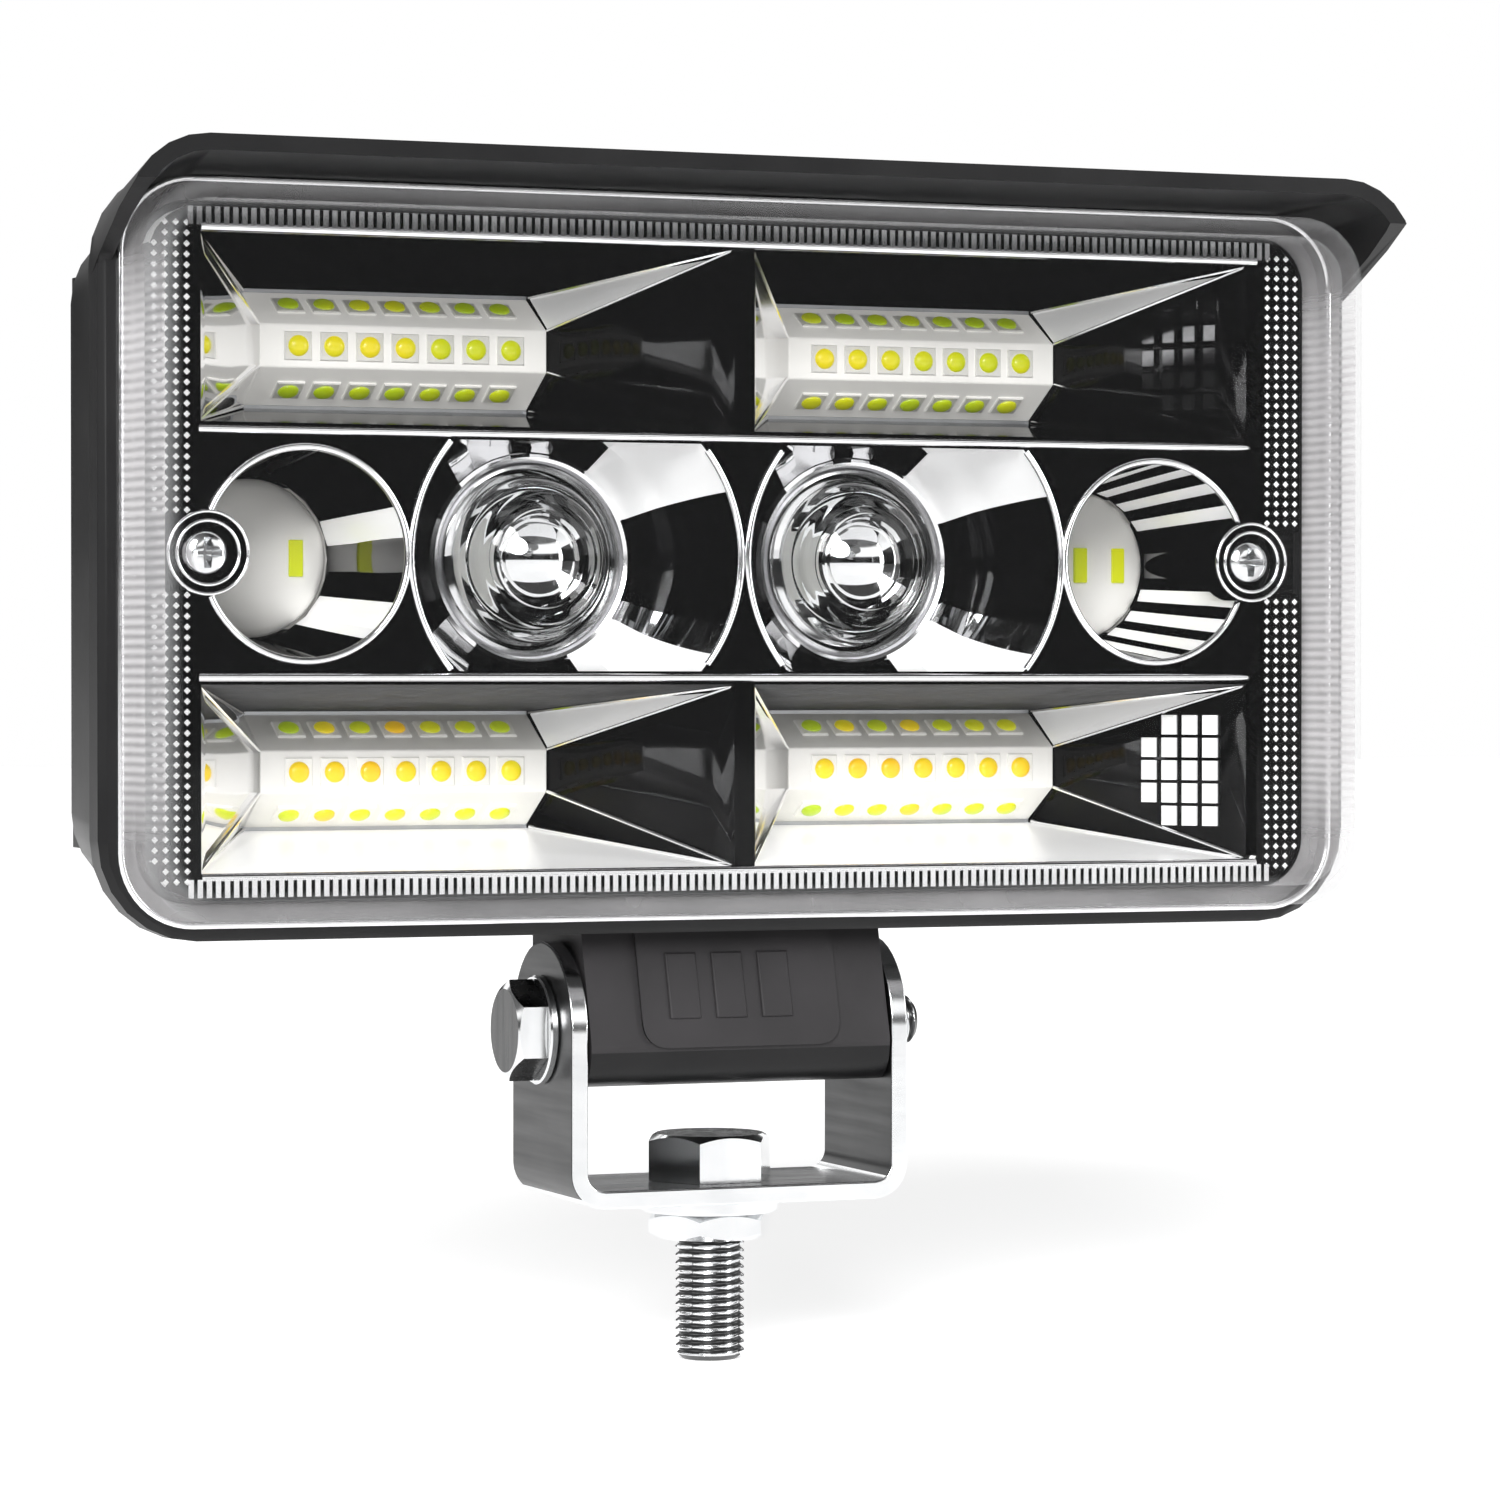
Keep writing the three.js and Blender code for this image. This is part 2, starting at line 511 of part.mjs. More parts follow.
function condenserRingSolid(side) {
  const x = side * CUP.x;
  return ring(alongY(x, 0, 5.6, 6.85, 11.9), alongY(x, 0, 5, 8, 10.6));
}

function bowlEmitterSolid(side) {
  const front = BOWL.baseFront;
  return turned([
    [front, BOWL.base * 0.6], [front + 0.6, BOWL.base * 0.9], [front + 1.2, BOWL.base],
    [SCREW.split - 0.3, BOWL.base], [SCREW.split - 0.3, BOWL.foot], [BOARD.front - TOUCH, BOWL.foot],
  ], 'y', side * BOWL.x, 0, HEAD_Z, 24);
}

function cupEmitterSolid(side) {
  const x = side * CUP.x;
  return box(x - 3, x + 3, 10.6, BOARD.front - TOUCH, HEAD_Z - 3, HEAD_Z + 3);
}

function boardSolid(size, holeR) {
  const [low, high] = [HEAD_Z - size.halfH, HEAD_Z + size.halfH];
  const plate = box(-size.halfW, size.halfW, size.front, size.front + size.thick, low, high);
  const hole = (side) => alongY(side * size.screwX, 0, size.front - 1, size.front + 3, holeR, 16);
  return cut(plate, ...[-1, 1].map(hole));
}

function screwSolid(x, headFront, headR, headDepth, shankR, end) {
  return turned([
    [headFront, headR * 0.7], [headFront + headDepth * 0.5, headR], [headFront + headDepth, headR],
    [headFront + headDepth, shankR], [end, shankR],
  ], 'y', x, 0, HEAD_Z, 20);
}

function reflectorScrewSolid(side) {
  return screwSolid(side * SCREW.x, SCREW.headFront, SCREW.headR, 1.65, SCREW.r, SCREW.end);
}

function inductorSolid() {
  const at = (r, y0, y1) => alongY(-10, 0, y0, y1, r, 24);
  return ring(at(4.6, 14.6, DRIVER.front - TOUCH), at(1.6, 13, 20));
}

const capacitorSolid = () => alongY(9, 0, 14.2, DRIVER.front - TOUCH, 3.4, 24);

// Cable gland and breather in the back wall
function glandSolid() {
  const back = GLAND.bossBack + TOUCH;
  const nut = hexagon(2 * GLAND.bodyR * Math.cos(Math.PI / 6), 5, 'y', back, 0, 0, HEAD_Z + GLAND.z);
  const dome = turned([[back + 4, 6.8], [back + 7, 6.2], [GLAND.tip, 4.4]], 'y', 0, 0, HEAD_Z + GLAND.z);
  const shank = alongY(0, GLAND.z, CHAMBER.floor + 0.5, back + 1, GLAND.holeR - 0.3);
  return cut(join(nut, dome, shank), alongY(0, GLAND.z, CHAMBER.floor, GLAND.tip + 1, GLAND.boreR, 24));
}

function ventSolid() {
  const back = BODY.back + TOUCH;
  return turned([
    [CHAMBER.floor + 0.5, VENT.holeR - 0.3], [back, VENT.holeR - 0.3], [back, VENT.capR],
    [back + VENT.capDepth - 0.6, VENT.capR], [back + VENT.capDepth, VENT.capR - 0.6],
  ], 'y', 0, 0, HEAD_Z + VENT.z, 24);
}

// Assembly
const finish = (color, roughness, metalness) => ({ color, roughness, metalness });
const BLACK = finish(0x16171a, 0.5, 0.2);
const BRIGHT = finish(0xd8dadd, 0.22, 1);
const CHROME = finish(0xf2f3f5, 0.06, 1);
const CLEAR = finish(0xeef2f4, 0.04, 0);
const WHITE = finish(0xeceae4, 0.6, 0);
const RUBBER = finish(0x111111, 0.85, 0);
const ALLOY = finish(0xb9bcc0, 0.4, 1);
const GREEN = finish(0x1d5a3a, 0.5, 0);
const COPPER = finish(0xb06a3c, 0.4, 1);

const lamp = new THREE.Group();

function addPart(name, solid, look) {
  const material = new THREE.MeshStandardMaterial(look);
  if (look === CLEAR) {
    material.transparent = true;
    material.opacity = 0.3;
  }
  const mesh = new THREE.Mesh(toGeometry(solid), material);
  mesh.name = name;
  lamp.add(mesh);
}

addPart('stud_bolt', studBoltSolid(), BRIGHT);
addPart('stud_washer', studWasherSolid(), BRIGHT);
addPart('stud_nut', studNutSolid(), BRIGHT);
addPart('u_bracket', bracketSolid(), BRIGHT);
addPart('pivot_bolt', pivotBoltSolid(), BRIGHT);
addPart('pivot_washer_left', pivotWasherSolid(-armX - TOUCH - PIVOT.washer), BRIGHT);
addPart('pivot_washer_right', pivotWasherSolid(armX + TOUCH), BRIGHT);
addPart('pivot_nut', pivotNutSolid(), BRIGHT);
addPart('housing', housingSolid(), BLACK);
addPart('lens_cover', lensSolid(), CLEAR);
addPart('lens_seal', sealSolid(), RUBBER);
addPart('reflector', reflectorSolid(), CHROME);
addPart('center_board', boardSolid(BOARD, SCREW.hole), WHITE);
addPart('driver_board', boardSolid(DRIVER, 1.4), GREEN);
addPart('driver_inductor', inductorSolid(), COPPER);
addPart('driver_capacitor', capacitorSolid(), BLACK);
addPart('cable_gland', glandSolid(), RUBBER);
addPart('breather_vent', ventSolid(), RUBBER);

for (const [sideName, side] of [['left', -1], ['right', 1]]) {
  addPart(`reflector_screw_${sideName}`, reflectorScrewSolid(side), BRIGHT);
  addPart(`board_screw_${sideName}`, screwSolid(side * BOARD.screwX, 10.3, 2.6, 1.6, SCREW.r, 19), BRIGHT);
  addPart(`driver_screw_${sideName}`, screwSolid(side * DRIVER.screwX, 17.9, 2.2, 1.2, 1.15, 22), BRIGHT);
  addPart(`condenser_lens_${sideName}`, condenserSolid(side), CLEAR);
  addPart(`condenser_ring_${sideName}`, condenserRingSolid(side), CHROME);
  addPart(`bowl_emitter_${sideName}`, bowlEmitterSolid(side), WHITE);
  addPart(`cup_emitter_${sideName}`, cupEmitterSolid(side), WHITE);
  for (const [levelName, level] of [['bottom', -1], ['top', 1]]) {
    addPart(`led_board_${levelName}_${sideName}`, ledBoardSolid(side, level), WHITE);
    addPart(`bar_core_${levelName}_${sideName}`, barCoreSolid(side, level), ALLOY);
  }
}

export default lamp;
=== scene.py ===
"""The looks of a rectangular LED fog light on a tilting U-bracket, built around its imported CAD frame."""
import math

import bmesh
import bpy
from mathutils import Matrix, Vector


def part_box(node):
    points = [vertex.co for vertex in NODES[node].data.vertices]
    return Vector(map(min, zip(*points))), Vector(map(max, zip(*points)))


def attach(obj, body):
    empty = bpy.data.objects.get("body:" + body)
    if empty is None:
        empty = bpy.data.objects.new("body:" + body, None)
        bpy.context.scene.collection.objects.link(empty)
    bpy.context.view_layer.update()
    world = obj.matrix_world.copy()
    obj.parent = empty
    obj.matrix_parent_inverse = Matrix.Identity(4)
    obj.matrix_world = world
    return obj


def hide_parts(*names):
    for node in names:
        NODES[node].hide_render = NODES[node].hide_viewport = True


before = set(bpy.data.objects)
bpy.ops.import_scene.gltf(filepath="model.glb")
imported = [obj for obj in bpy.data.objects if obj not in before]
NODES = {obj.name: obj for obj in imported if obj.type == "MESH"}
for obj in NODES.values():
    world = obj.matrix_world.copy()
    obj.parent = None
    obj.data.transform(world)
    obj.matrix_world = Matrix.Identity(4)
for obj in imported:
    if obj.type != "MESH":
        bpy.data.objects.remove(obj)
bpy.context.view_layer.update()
MM = 0.001


def span(node):
    """A node's lowest and highest corners, in millimetres."""
    low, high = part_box(node)
    return low / MM, high / MM


def middle(node, axis):
    """The middle of a node along one axis, in millimetres."""
    low, high = span(node)
    return (getattr(low, axis) + getattr(high, axis)) / 2


# Places read from the frame, in millimetres
LENS_LOW, LENS_HIGH = span("lens_cover")
MIRROR_LOW = span("reflector")[0]
HEAD_Z = middle("lens_cover", "z")
PLATE_Y = MIRROR_LOW.y + 1.8            # front of the dividers between the cavities
BORDER_Y = MIRROR_LOW.y + 0.3           # front of the reflector's border
SCREW_X = middle("reflector_screw_right", "x")
BOWL_X = middle("bowl_emitter_right", "x")
CUP_X = middle("condenser_lens_right", "x")
PIVOT_LOW, PIVOT_HIGH = span("pivot_bolt")
PIVOT_Z = middle("pivot_bolt", "z")
STUD_LOW, STUD_HIGH = span("stud_bolt")

# Sizes of the fine detail, in millimetres
LED = {"count": 7, "pitch": 4.27, "dot": 1.22, "dome": 0.5, "side": 3.3, "thick": 0.3}
KNURL = {"columns": 4, "first_x": 65.55, "pitch_x": 1.22, "reach_z": 36, "pitch_z": 1.15, "size": 1.05,
         "height": 0.55, "pocket_z": 4.6, "corner_z": 33.5}
RIB = {"reach_x": 66, "pitch": 1.02, "width": 0.6, "height": 0.5, "near_z": 35.4, "far_z": 37.4}
BOWL = {"mouth": 11.55, "throat": 9.25, "facets": 20, "depth": 21.6, "ripple": 0.022}
THREAD = {"pitch": 0.95, "depth": 0.5, "per_turn": 36, "per_pitch": 8}
STUD_R, PIVOT_R = 4.0, 3.0
THREAD_PLAY, BORE_PLAY = 0.02, 0.05
LENS = {"wall": 2.2, "edge": 5.6, "draft": 0.5, "corner": 8, "edge_highlight_y": -13.1}
BAR = {"half_front": 2.45, "row_share": 0.56}
TROUGH = {"inner_bar_x": 15.1, "inner_x": 1.2, "outer_bar_x": 49.9, "outer_x": 63.6, "near_z": 14.5,
          "far_z": 34.7, "bar_z": 24.3}
MIDDLE_ROW = 13.5                       # half the height of the row of bowls and cups
SQUARE = ((-1, -1), (1, -1), (1, 1), (-1, 1))
SIDES = (("left", -1), ("right", 1))
LEVELS = (("top", 1), ("bottom", -1))


# ---------------------------------------------------------------- materials

def material(name, color, roughness, metallic=0.0, **sockets):
    """A Principled material, and its node tree's parts."""
    mat = bpy.data.materials.new(name)
    mat.use_nodes = True
    tree = mat.node_tree
    shader = tree.nodes["Principled BSDF"]
    shader.inputs["Base Color"].default_value = (*color, 1)
    shader.inputs["Roughness"].default_value = roughness
    shader.inputs["Metallic"].default_value = metallic
    for socket, value in sockets.items():
        shader.inputs[socket.replace("_", " ")].default_value = value
    return mat, tree, shader


def stretched_place(tree, stretch):
    """The part's own coordinates, scaled along each axis."""
    coordinates = tree.nodes.new("ShaderNodeTexCoord")
    mapping = tree.nodes.new("ShaderNodeMapping")
    mapping.inputs["Scale"].default_value = stretch
    tree.links.new(coordinates.outputs["Object"], mapping.inputs["Vector"])
    return mapping.outputs["Vector"]


def split_place(tree, kind):
    """X, Y and Z of one kind of texture coordinate."""
    coordinates = tree.nodes.new("ShaderNodeTexCoord")
    split = tree.nodes.new("ShaderNodeSeparateXYZ")
    tree.links.new(coordinates.outputs[kind], split.inputs["Vector"])
    return split.outputs


def noise(tree, scale, detail=3.0, stretch=(1, 1, 1)):
    """Noise in the part's own coordinates: scale counts its features along one metre."""
    texture = tree.nodes.new("ShaderNodeTexNoise")
    texture.inputs["Scale"].default_value = scale
    texture.inputs["Detail"].default_value = detail
    tree.links.new(stretched_place(tree, stretch), texture.inputs["Vector"])
    return texture.outputs["Fac"]


def calculate(tree, operation, value, other=0.0):
    node = tree.nodes.new("ShaderNodeMath")
    node.operation = operation
    node.inputs[1].default_value = other
    tree.links.new(value, node.inputs[0])
    return node.outputs["Value"]


def spread(tree, value, low, high, start=0.0, end=1.0):
    """A value that runs from start to end, spread over low to high and held there."""
    node = tree.nodes.new("ShaderNodeMapRange")
    for socket, limit in zip(("From Min", "From Max", "To Min", "To Max"), (start, end, low, high)):
        node.inputs[socket].default_value = limit
    tree.links.new(value, node.inputs["Value"])
    return node.outputs["Result"]


def ramp(tree, factor, stops):
    """A colour ramp. Each stop is (position, colour)."""
    node = tree.nodes.new("ShaderNodeValToRGB")
    elements = node.color_ramp.elements
    while len(elements) < len(stops):
        elements.new(0.5)
    for element, (position, color) in zip(elements, stops):
        element.position = position
        element.color = (*color, 1)
    tree.links.new(factor, node.inputs["Fac"])
    return node.outputs["Color"]


def paint(tree, shader, factor, stops, glow=0.0):
    """Colours a material by a ramp. A glow gives off the same colours as light."""
    color = ramp(tree, factor, stops)
    tree.links.new(color, shader.inputs["Base Color"])
    if glow:
        tree.links.new(color, shader.inputs["Emission Color"])
        shader.inputs["Emission Strength"].default_value = glow


def add_bump(tree, shader, height, strength, distance):
    bump = tree.nodes.new("ShaderNodeBump")
    bump.inputs["Strength"].default_value = strength
    bump.inputs["Distance"].default_value = distance * MM
    tree.links.new(height, bump.inputs["Height"])
    tree.links.new(bump.outputs["Normal"], shader.inputs["Normal"])


def vary_roughness(tree, shader, factor, low, high):
    tree.links.new(spread(tree, factor, low, high), shader.inputs["Roughness"])


def powder_coat():
    mat, tree, shader = material("powder_coat", (0.006, 0.006, 0.0065), 0.38, Specular_IOR_Level=0.3)
    patches = noise(tree, 70, 4)
    paint(tree, shader, patches, [(0.3, (0.004, 0.004, 0.0045)), (0.75, (0.009, 0.0088, 0.0092))])
    vary_roughness(tree, shader, patches, 0.3, 0.46)
    add_bump(tree, shader, noise(tree, 2600, 2), 0.22, 0.05)
    return mat


def grained(name, color, roughness, grain, bump, patches=None, stops=(), metallic=0.0, glow=0.0, **sockets):
    """A fine grain over patches of colour. Both are (scale, detail) of their noise."""
    mat, tree, shader = material(name, color, roughness, metallic, **sockets)
    if patches:
        paint(tree, shader, noise(tree, *patches), stops, glow)
    add_bump(tree, shader, noise(tree, *grain), *bump)
    return mat


def chrome(name, tone, ripple=0.02, roughness=0.035):
    """Vacuum-plated plastic. The tone is how much of what it mirrors comes back. A low tone makes a darker
    copy: painted shade and painted dark reflections.
    """
    edge = 1 if tone > 0.5 else tone
    mat, tree, shader = material(name, (tone, tone, tone * 1.01), roughness, 1.0,
                                 Specular_Tint=(edge, edge, edge, 1))
    vary_roughness(tree, shader, noise(tree, 240, 3), roughness * 0.6, roughness * 1.8)
    add_bump(tree, shader, noise(tree, 55, 1.5), ripple, 0.6)
    return mat


def bright_steel(name, stretch, roughness=0.2, tone=1.0):
    """Drawn or turned steel, with its fine lines across the stretched axis. A tone below 1 makes a darker
    copy: painted shade.
    """
    mat, tree, shader = material(name, (0.78, 0.79, 0.8), roughness, 1.0)
    lines = noise(tree, 900, 3, stretch)
    darker, lighter = [tone * v for v in (0.76, 0.77, 0.78)], [tone * v for v in (0.9, 0.905, 0.91)]
    paint(tree, shader, noise(tree, 120, 4), [(0.3, darker), (0.7, lighter)])
    vary_roughness(tree, shader, lines, roughness * 0.7, roughness * 1.5)
    add_bump(tree, shader, lines, 0.12, 0.03)
    return mat


def clear_face():
    """The lens cover's face: clear where it is flat, and milky where it rounds off into the walls. The milky
    edge is a painted sheen that stands in for the light the rounded clear edge throws back.
    """
    clear, milky, flat_enough = 0.004, 0.26, 0.8
    mat, tree, shader = material("clear_face", (0.8, 0.81, 0.82), 0.03, Specular_IOR_Level=0.07)
    flatness = calculate(tree, "ABSOLUTE", split_place(tree, "Normal")["Y"])
    # Opacity rises where the face turns away from the front: a painted sheen on the rounded edge.
    tree.links.new(spread(tree, flatness, milky, clear, 0, flat_enough), shader.inputs["Alpha"])
    add_bump(tree, shader, noise(tree, 30, 1), 0.05, 0.3)
    return mat


def milky_wall(name, fluted):
    """The lens cover's walls: milky, the two upright ones with fine lines from front to back."""
    mat, tree, shader = material(name, (0.78, 0.77, 0.78), 0.3)
    lines = flutes(tree, 1.05) if fluted else noise(tree, 110, 3)
    mist = noise(tree, 40, 3, (1, 1, 0.25))
    paint(tree, shader, mist, [(0.3, (0.6, 0.59, 0.6)), (0.7, (0.8, 0.785, 0.795))])
    thin, thick = (0.42, 0.82) if fluted else (0.16, 0.4)
    opacity = spread(tree, lines, thin, thick)
    tree.links.new(fade_to_corners(tree, opacity) if fluted else opacity, shader.inputs["Alpha"])
    add_bump(tree, shader, lines, 0.35, 0.15)
    return mat


def fade_to_corners(tree, opacity):
    """Brings an upright wall's opacity down to the corners' own before the wall ends."""
    straight_end, fade, corner_opacity = 32.0, 9.0, 0.28
    offset = calculate(tree, "SUBTRACT", split_place(tree, "Object")["Z"], HEAD_Z * MM)
    distance = calculate(tree, "ABSOLUTE", offset)
    share = spread(tree, distance, 0, 1, (straight_end - fade) * MM, straight_end * MM)
    blend = tree.nodes.new("ShaderNodeMix")
    blend.inputs["B"].default_value = corner_opacity
    tree.links.new(share, blend.inputs["Factor"])
    tree.links.new(opacity, blend.inputs["A"])
    return blend.outputs["Result"]


def flutes(tree, pitch):
    """Even grooves that run from front to back, one pitch apart in height."""
    wave = tree.nodes.new("ShaderNodeTexWave")
    wave.bands_direction = "Z"
    wave.inputs["Scale"].default_value = 2 * math.pi / (20 * pitch * MM)
    wave.inputs["Distortion"].default_value = 0.6
    tree.links.new(stretched_place(tree, (0, 0.04, 1)), wave.inputs["Vector"])
    return wave.outputs["Fac"]


def white_board(name, glow):
    """White solder mask. The glow is painted light: it stands in for the light that the mirrors throw back on
    it.
    """
    return grained(name, (0.84, 0.82, 0.78), 0.42, (1500, 2), (0.12, 0.03), (110, 3),
                   [(0.3, (0.86, 0.845, 0.81)), (0.7, (0.93, 0.92, 0.885))], glow=glow)


def phosphor(name, low, high, glow):
    """The yellow emitters: their colour drifts from one to the next. Their glow is painted light, for the
    emitters are not switched on.
    """
    return grained(name, low, 0.35, (3000, 2), (0.15, 0.03), (75, 1), [(0.36, low), (0.62, high)], glow=glow,
                   Coat_Weight=0.3)


def plain_alloy():
    mat, tree, shader = material("plain_alloy", (0.62, 0.63, 0.65), 0.35, 1.0)
    lines = noise(tree, 700, 3, (0.03, 1, 1))
    vary_roughness(tree, shader, lines, 0.28, 0.5)
    add_bump(tree, shader, lines, 0.2, 0.04)
    return mat


COAT = powder_coat()
LUG_PAINT = grained("lug_paint", (0.022, 0.021, 0.022), 0.6, (2200, 2), (0.25, 0.05), (90, 3),
                    [(0.3, (0.018, 0.017, 0.018)), (0.75, (0.027, 0.025, 0.027))], Specular_IOR_Level=0.3)
MIRROR = chrome("mirror_chrome", 0.85)
# The shaded and dark copies of the chrome paint shade and dark reflections onto the reflector.
MIRROR_SHADE = chrome("shaded_chrome", 0.3)
MIRROR_PAINTED_DARK = chrome("dark_chrome_painted_shade", 0.012)
MIRROR_BORDER = chrome("border_chrome", 0.95, 0.04, 0.12)
# The graphite copy of the chrome is dull and dark: painted shade on the bottom troughs' upper walls, in place
# of what they mirror.
GRAPHITE_SHADE = chrome("graphite_chrome_painted_shade", 0.2, 0.02, 0.5)
# A white, half-metal copy of the chrome: painted light, on the bright patches of bowls and cups, on the lower
# walls of the bottom troughs, on the knurl and on the lower optic cells
SATIN_LIT = grained("satin_chrome_painted_light", (0.95, 0.95, 0.95), 0.3, (900, 2), (0.05, 0.02), (45, 2),
                [(0.3, (0.9,) * 3), (0.7, (0.97,) * 3)], 0.25, 0.25)
STRAP_STEEL = bright_steel("strap_steel", (0.04, 1, 1), 0.16)
STRAP_FACE_SHADE = bright_steel("strap_face_painted_shade", (1, 0.04, 1), 0.34, 0.11)
TURNED_STEEL = bright_steel("turned_steel", (1, 1, 0.06), 0.14)
GROOVE_SHADE_STEEL = bright_steel("groove_steel_painted_shade", (1, 1, 0.06), 0.3, 0.16)
END_SHADE_STEEL = bright_steel("end_steel_painted_shade", (1, 1, 0.06), 0.25, 0.08)
CLEAR_FACE = clear_face()
FROSTED = milky_wall("frosted_wall", False)
FLUTED = milky_wall("fluted_wall", True)
OPTIC = grained("clear_optic", (0.97, 0.98, 0.98), 0.01, (90, 1), (0.03, 0.2), IOR=1.49,
                Transmission_Weight=1.0)
BOARD = white_board("white_board", 0.04)
# The boards under the visor glow more: painted light that lifts them out of the visor's shadow.
BOARD_LIT_UNDER_VISOR = white_board("white_board_painted_light_under_visor", 0.32)
# The packages' glow is painted light: they are not switched on.
LIT_PACKAGE = grained("led_package_painted_glow", (0.88, 0.87, 0.83), 0.35, (2400, 2), (0.1, 0.02), (260, 2),
                  [(0.3, (0.8, 0.79, 0.75)), (0.7, (0.88, 0.87, 0.84))], glow=0.12)
GREEN_GLOW = phosphor("phosphor_green_painted_glow", (0.42, 0.58, 0.006), (0.66, 0.68, 0.008), 0.26)
YELLOW_GLOW = phosphor("phosphor_yellow_painted_glow", (0.6, 0.66, 0.008), (0.82, 0.68, 0.01), 0.4)
AMBER_GLOW = phosphor("phosphor_amber_painted_glow", (0.8, 0.7, 0.008), (0.92, 0.55, 0.01), 0.26)
RUBBER = grained("black_rubber", (0.012, 0.012, 0.012), 0.75, (1800, 3), (0.3, 0.06), (180, 3),
                 [(0.3, (0.009,) * 3), (0.7, (0.02,) * 3)])
ALLOY = plain_alloy()
GREEN_BOARD = grained("green_board", (0.015, 0.12, 0.05), 0.35, (900, 2), (0.2, 0.05), (320, 1),
                      [(0.48, (0.01, 0.09, 0.035)), (0.52, (0.02, 0.16, 0.07))])
COPPER = grained("copper_wire", (0.7, 0.28, 0.12), 0.3, (1400, 2, (1, 0.1, 1)), (0.6, 0.15), metallic=1.0)
# Black for the screws' cross recesses: painted shade.
RECESS_SHADE = grained("recess_painted_shade", (0.006, 0.006, 0.006), 0.6, (1500, 2), (0.2, 0.04))
# The copies of the chrome that paint reflections and shade onto the reflector's faces.
TONES = [MIRROR, MIRROR_SHADE, MIRROR_PAINTED_DARK, SATIN_LIT, GRAPHITE_SHADE]
BRIGHT, SHADED, DARK, WHITE, GRAY = range(5)        # places in TONES


# ---------------------------------------------------------------- mesh tools

def shade(mesh, angle):
    """Smooth shading, with a sharp edge wherever two faces meet at more than the angle."""
    for polygon in mesh.polygons:
        polygon.use_smooth = True
    mesh.set_sharp_from_angle(angle=math.radians(angle))


def add_to_scene(name, data):
    obj = bpy.data.objects.new(name, data)
    bpy.context.scene.collection.objects.link(obj)
    return obj


def finish_mesh(name, mesh, materials, angle, bevel):
    """An object of a mesh, with its material or list of materials, its shading and its bevel."""
    for one in materials if isinstance(materials, list) else [materials]:
        mesh.materials.append(one)
    if angle:
        shade(mesh, angle)
    obj = add_to_scene(name, mesh)
    if bevel:
        add_bevel(obj, bevel)
    return obj


def piece(name, shape, materials, body="head", angle=30, bevel=0.0, replaces=()):
    """A new object from (vertices in millimetres, faces, optional material index of each face)."""
    vertices, faces, *indices = shape
    mesh = bpy.data.meshes.new(name)
    mesh.from_pydata([Vector(v) * MM for v in vertices], [], faces)
    if indices:
        mesh.polygons.foreach_set("material_index", indices[0])
    build = bmesh.new()
    build.from_mesh(mesh)
    bmesh.ops.recalc_face_normals(build, faces=build.faces)
    build.to_mesh(mesh)
    build.free()
    obj = finish_mesh(name, mesh, materials, angle, bevel)
    settle(obj, body, replaces)
    return obj


def settle(obj, body, replaces=()):
    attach(obj, body)
    if replaces:
        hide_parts(*replaces)


def add_bevel(obj, width, angle=40):
    bevel = obj.modifiers.new("edges", "BEVEL")
    bevel.width = width * MM
    bevel.segments = 2
    bevel.limit_method = "ANGLE"
    bevel.angle_limit = math.radians(angle)
    bevel.harden_normals = True


def turned_point(centre, axis, along, radius, angle):
    x, y, z = centre
    a, b = radius * math.cos(angle), radius * math.sin(angle)
    points = {"x": (x + along, y + a, z + b), "y": (x + a, y + along, z + b), "z": (x + a, y + b, z + along)}
    return points[axis]


def turned_rings(profile, centre, axis, sides):
    """Vertices of a turned shape, and the indices of each ring. A radius of 0 makes one point."""
    vertices, rings = [], []
    for along, radius in profile:
        count = sides if radius > 0 else 1
        rings.append(list(range(len(vertices), len(vertices) + count)))
        for i in range(count):
            vertices.append(turned_point(centre, axis, along, radius, 2 * math.pi * i / sides))
    return vertices, rings


def lathe(profile, centre, axis="y", sides=48):
    """A turned closed solid. The profile is [(along, radius)], and both ends close onto the axis."""
    vertices, rings = turned_rings(profile, centre, axis, sides)
    return vertices, bridges(rings) + [ring for ring in (rings[0], rings[-1]) if len(ring) > 1]


def ring_lathe(profile, centre, axis="y", sides=48):
    """A turned ring: the profile closes on itself and stays off the axis."""
    vertices, rings = turned_rings(profile, centre, axis, sides)
    return vertices, bridges(rings, True)


def bridge(first, second):
    """Faces between two rings of the same length, or between a ring and a single point."""
    if len(first) == 1 or len(second) == 1:
        point, ring = (first[0], second) if len(first) == 1 else (second[0], first)
        return [[point, ring[i], ring[(i + 1) % len(ring)]] for i in range(len(ring))]
    count = len(first)
    return [[first[i], first[(i + 1) % count], second[(i + 1) % count], second[i]] for i in range(count)]


def bridges(rings, around=False):
    """Faces between each ring and the next, and with around=True between the last and the first."""
    faces = []
    for first, second in zip(rings, rings[1:] + (rings[:1] if around else [])):
        faces += bridge(first, second)
    return faces


def loft(rings, closed=True):
    """A closed solid through rings with the same number of points, capped at both ends.

    With closed=False it has no caps, and its last ring joins its first."""
    vertices = [point for ring in rings for point in ring]
    count = len(rings[0])
    index = [list(range(i * count, (i + 1) * count)) for i in range(len(rings))]
    caps = [index[0], index[-1]] if closed else []
    return vertices, bridges(index, not closed) + caps


def block(x0, x1, y0, y1, z0, z1):
    vertices = [(x, y, z) for x in (x0, x1) for y in (y0, y1) for z in (z0, z1)]
    faces = [[0, 1, 3, 2], [4, 6, 7, 5], [0, 4, 5, 1], [2, 3, 7, 6], [0, 2, 6, 4], [1, 5, 7, 3]]
    return vertices, faces


